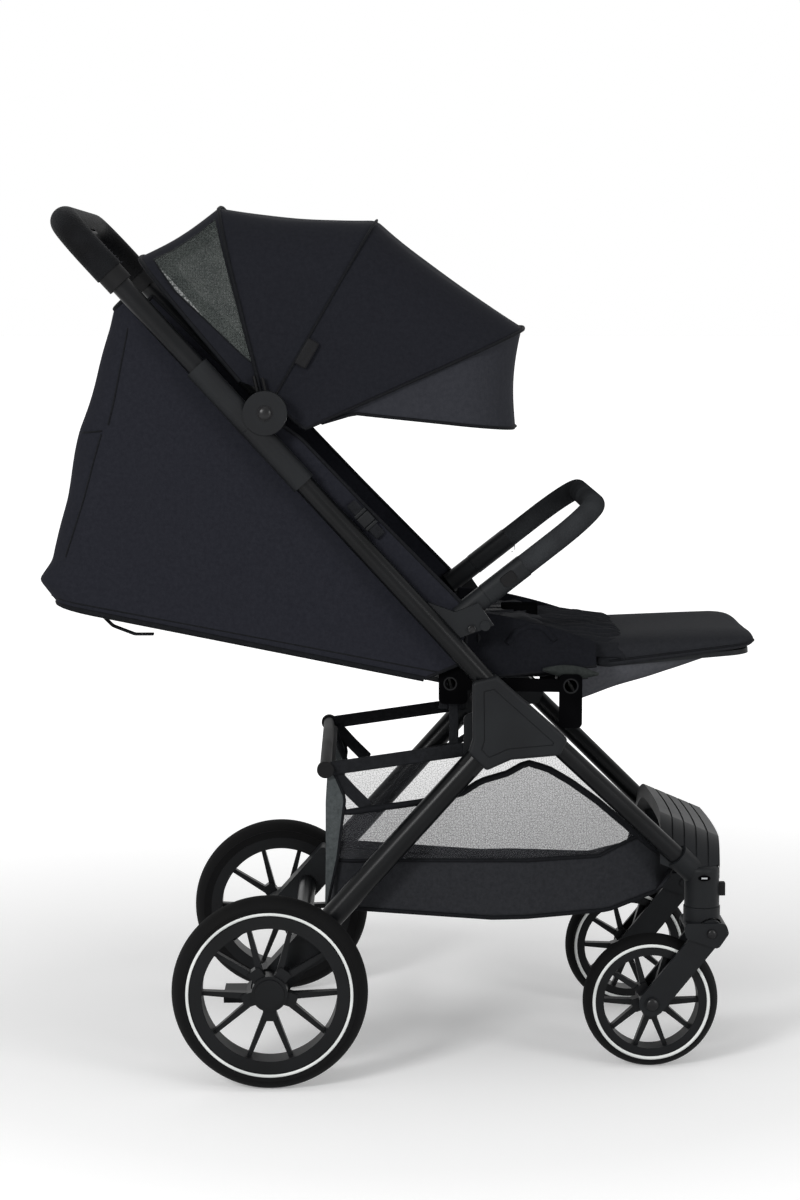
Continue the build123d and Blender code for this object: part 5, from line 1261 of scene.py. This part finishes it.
def dome(name, body, at_mm, sign, radii_mm, material=dark_pin):
    """A rivet head on a side face: half of an ellipsoid, with its foot closed."""
    at = Vector(at_mm) * MM
    bm = bmesh.new()
    size = Matrix.Diagonal((*[r * MM for r in radii_mm], 1))
    bmesh.ops.create_uvsphere(bm, u_segments=24, v_segments=16, radius=1,
                              matrix=Matrix.Translation(at) @ size)
    everything = bm.verts[:] + bm.edges[:] + bm.faces[:]
    bmesh.ops.bisect_plane(bm, geom=everything, plane_co=at, plane_no=(0, sign, 0), clear_inner=True)
    bmesh.ops.holes_fill(bm, edges=[e for e in bm.edges if e.is_boundary])
    bmesh.ops.recalc_face_normals(bm, faces=bm.faces)
    return piece(bm, name, material, body)


# %% Hardware on each side
SOCKET_BOLT = (83.5, 538)
SLOT_Z = 234
for side, sign in SIDES:
    hinge_face, socket_face = (sign * side_face(node, 1) for node in ("upper_hinges", "bumper_sockets"))
    arm_face, crown_face, post_face = (
        side_face(f"{node}_{side}", sign) for node in ("fork_arm", "fork_crown", "swivel_housing"))
    axle, pivot, swivel = (
        joint_at[f"front_{joint}_{side}"] / MM for joint in ("wheel_spin", "suspension", "swivel"))
    dome(f"hinge_rivet_{side}", "handle", (hinge_at.x / MM, hinge_face, hinge_at.z / MM), sign, (8, 3, 8))
    socket_at = (SOCKET_BOLT[0], socket_face + sign * 0.6, SOCKET_BOLT[1])
    bolt(f"socket_bolt_{side}", "chassis", socket_at, (0, sign, 0), 4.6)
    dome(f"axle_bolt_{side}", f"fork_arm_{side}", (axle.x, arm_face, axle.z), sign, (7.5, 3, 7.5))
    dome(f"crown_bolt_{side}", f"fork_{side}", (pivot.x, crown_face, pivot.z), sign, (5.5, 2.4, 5.5))
    # The slot in the swivel post is a flat black oval a little proud of the post: painted shade for the
    # hollow of the slot.
    slot_at = (swivel.x, post_face - sign * 0.6, SLOT_Z)
    dome(f"swivel_slot_shade_{side}", "chassis", slot_at, sign, (7.5, 1.4, 3.4), black_plate)
    pin = beside(post_face + sign * 0.4, (swivel.x - 3.5, SLOT_Z), (swivel.x + 3.5, SLOT_Z))
    piping(f"swivel_pin_{side}", pin, 1.3, "chassis", zinc_plate)
print("bolts and rivets", 6 * len(SIDES))

# %% [markdown]
# The leatherette of the bumper bar and of the grip is sewn shut. A ray from inside finds the skin at
# each point of the seam, and short rounded stitches lie along it.

# %% Stitches
STITCH_LONG = 3.4
STITCH_GAP = 2.0
STITCH_R = 0.55 * MM
STITCH_FROM_Y = 120
STITCHES = (
    ("bumper_stitches", "bumper_bar", "bumper", (146, 598), (206, 645), None),
    ("grip_stitches", "handle_grip", "handle", (-386, 1002), (-352, 965), Vector((1.6, 0, 1.4)) * MM),
)


def stitch_row(name, points, body, zigzag=None):
    """Short rounded stitches along a line of points; zigzag is a vector across the row."""
    pitch = STITCH_LONG + STITCH_GAP
    count = max(1, int(run_length(points) / (pitch * MM)))
    bm = bmesh.new()
    for k in range(count):
        a = along(points, k / count)
        b = along(points, min(1, (k + STITCH_LONG / pitch) / count))
        if zigzag:
            a, b = (a - zigzag, b + zigzag) if k % 2 else (a + zigzag, b - zigzag)
        size = Matrix.Diagonal((STITCH_R, STITCH_R, (b - a).length / 2, 1))
        bmesh.ops.create_uvsphere(bm, u_segments=6, v_segments=4, radius=1,
                                  matrix=Matrix.Translation((a + b) / 2) @ turned((0, 0, 1), b - a) @ size)
    return piece(bm, name, thread, body)


def on_surface(node, start, way):
    """The first point of a CAD node that a ray meets."""
    back = nodes[node].matrix_world.inverted()
    hit, at, *_ = nodes[node].ray_cast(back @ start, (back.to_3x3() @ Vector(way)).normalized())
    return nodes[node].matrix_world @ at if hit else start


bpy.context.view_layer.update()
for side, sign in SIDES:
    for name, node, body, start, stop, zigzag in STITCHES:
        a, b = beside(sign * STITCH_FROM_Y, start, stop)
        seam = trace(lambda t: on_surface(node, a.lerp(b, t), (0, sign, 0)), 24)
        stitch_row(f"{name}_{side}", seam, body, zigzag)
print("stitch rows", len(STITCHES) * len(SIDES))

# %% [markdown]
# Each side has a strap adjuster tucked between the main tube and the wing, and the strap that sets the
# backrest ends in a loose tail below the hem.

# %% Strap adjusters and tails
ADJUSTER_RUNS = (-144, -170, -196)
ADJUSTER_FRONT = 24
ADJUSTER_Y = 197
LOCK_SIZE = (24, 5, 17)
TAIL_Y = 165


def ladder_lock(name, middle, along_way, body):
    """A small moulded ladder lock: a bevelled block with two cross bars."""
    bm = bmesh.new()
    long, thick, wide = in_mm(LOCK_SIZE)[0]
    for shift, length in ((0, 0.55), (-0.4, 0.16), (0.4, 0.16)):
        place = turned((1, 0, 0), along_way) @ Matrix.Translation((shift * long, 0, 0))
        size = Matrix.Diagonal((length * long, thick, wide, 1))
        bmesh.ops.create_cube(bm, size=1, matrix=Matrix.Translation(middle) @ place @ size)
    bmesh.ops.bevel(bm, geom=bm.edges[:], offset=0.9 * MM, segments=2, affect="EDGES", profile=0.5)
    return piece(bm, name, moulded_nylon, body, smooth=False)


for side, sign in SIDES:
    ends = [on_tube(run, ADJUSTER_FRONT) / MM for run in ADJUSTER_RUNS]
    line = beside(sign * ADJUSTER_Y, *ends)
    across = (math.sin(LEAN), 0, math.cos(LEAN))
    band = strap(f"adjuster_strap_{side}", line, across, 13, "chassis")
    lock = ladder_lock(f"strap_adjuster_{side}", line[1], line[2] - line[0], "chassis")
    line = beside(sign * TAIL_Y, (-356, 556), (-338, 538), (-312, 528), (-290, 528))
    tail = strap(f"recline_tail_{side}", line, (0, 1, 0), 15, "chassis")
    flatten(band, lock, tail)

# %% [markdown]
# ## The wheels' bright rings
# A reflective strip is set into each tyre's sidewall. A short profile is spun once round the axle.

# %% Reflective rings
RING_SUNK = 1.6
RING_BELOW = 0.2
RING_BEVEL = 0.3
REAR_RING, FRONT_RING = (96.1, 3.7), (68.8, 4.1)


def sidewall_ring(name, wheel, tyre, way, radius_mm, band_mm):
    """A flat ring spun round a wheel's axle, set into one sidewall of its tyre."""
    low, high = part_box(tyre)
    axle = (low + high) / 2
    face = side_face(tyre, way)
    inner, outer = face - way * RING_SUNK, face - way * RING_BELOW
    near, far = radius_mm - band_mm / 2, radius_mm + band_mm / 2
    corners = [(near, inner), (far, inner), (far - RING_BEVEL, outer), (near + RING_BEVEL, outer)]
    bm = bmesh.new()
    profile = [bm.verts.new((axle.x + r * MM, y * MM, axle.z)) for r, y in corners]
    edges = [bm.edges.new((profile[k], profile[(k + 1) % 4])) for k in range(4)]
    bmesh.ops.spin(bm, geom=profile + edges, cent=axle, axis=(0, 1, 0), angle=2 * math.pi, steps=96,
                   use_merge=True)
    bmesh.ops.recalc_face_normals(bm, faces=bm.faces)
    return piece(bm, name, bright_strip, wheel)


for side, sign in SIDES:
    sidewall_ring(f"rear_ring_{side}", f"rear_wheel_{side}", f"rear_tyre_{side}", sign, *REAR_RING)
    for name, way in (("outer", sign), ("inner", -sign)):
        wheel, tyre = f"front_wheel_{side}", f"front_tyre_{side}"
        sidewall_ring(f"front_ring_{name}_{side}", wheel, tyre, way, *FRONT_RING)
print("rings", 3 * len(SIDES))

# %% [markdown]
# ## The studio
# A pale floor and soft lamps, as in a catalogue picture. The floor looks almost white to the camera
# and still takes the stroller's shadow. Far from the stroller it glows like the backdrop, so no
# horizon shows.

# %% Floor
GLOW_NEAR, GLOW_FAR = 0.55, 2.4
GLOW_LOW, GLOW_HIGH = 0.22, 0.8
WHITE = (1, 1, 1, 1)


def plain_view(tree):
    """1 for what the camera, a mirror or a glass sees, and 0 for the light that falls on things."""
    rays = add(tree, "ShaderNodeLightPath").outputs
    seen = rays["Is Camera Ray"]
    for kind in ("Is Glossy Ray", "Is Transmission Ray"):
        seen = add(tree, "ShaderNodeMath", {0: seen, 1: rays[kind]}, operation="MAXIMUM").outputs[0]
    return seen


floor_material, tree, shader, place = start_material("studio_floor")
away = add(tree, "ShaderNodeVectorMath", {0: place["Object"]}, operation="LENGTH").outputs["Value"]
reach = remap(tree, away, GLOW_NEAR, GLOW_FAR, GLOW_LOW, GLOW_HIGH)
glow = add(tree, "ShaderNodeMath", {0: plain_view(tree), 1: reach}, operation="MULTIPLY").outputs[0]
feed(tree, shader, {"Emission Strength": glow}, {
    "Base Color": linear("#f0f0f0"), "Roughness": 0.9, "Specular IOR Level": 0.05, "Emission Color": WHITE,
})
floor_mesh = bmesh.new()
bmesh.ops.create_grid(floor_mesh, x_segments=1, y_segments=1, size=60)
floor = piece(floor_mesh, "studio_floor", floor_material, smooth=False)
print("floor laid")

# %% [markdown]
# The world is white where the camera looks straight at it and dimmer as a light. Four square lamps
# shape the black pieces: the key and the fill from the near side, weak ones from above and behind.

# %% Light
WORLD_LIGHT = 0.42
world = bpy.data.worlds.new("studio")
bpy.context.scene.world = world
world.use_nodes = True
sky = world.node_tree
sky.nodes.clear()
soft, white = (
    add(sky, "ShaderNodeBackground", values={"Color": WHITE, "Strength": strength}).outputs[0]
    for strength in (WORLD_LIGHT, 1.0))
choice = add(sky, "ShaderNodeMixShader", {0: plain_view(sky), 1: soft, 2: white})
add(sky, "ShaderNodeOutputWorld", {"Surface": choice.outputs[0]})


def softbox(name, at, aim, size, power):
    """A square area lamp that faces a point."""
    lamp = bpy.data.lights.new(name, "AREA")
    lamp.size = size
    lamp.energy = power
    holder = bpy.data.objects.new(name, lamp)
    way = (Vector(aim) - Vector(at)).normalized()
    holder.matrix_world = Matrix.Translation(at) @ way.to_track_quat("-Z", "Y").to_matrix().to_4x4()
    bpy.context.scene.collection.objects.link(holder)


softbox("key_lamp", (-1.7, -2.9, 1.8), (0, 0, 0.5), 0.8, 62)
softbox("top_lamp", (0.2, -0.6, 3.0), (0, 0, 0.4), 2.2, 8)
softbox("fill_lamp", (2.2, -2.4, 1.2), (0, 0, 0.5), 1.0, 26)
softbox("back_lamp", (-0.5, 2.6, 2.2), (0, 0, 0.6), 1.6, 5)
print("lamps", len(bpy.data.lights))
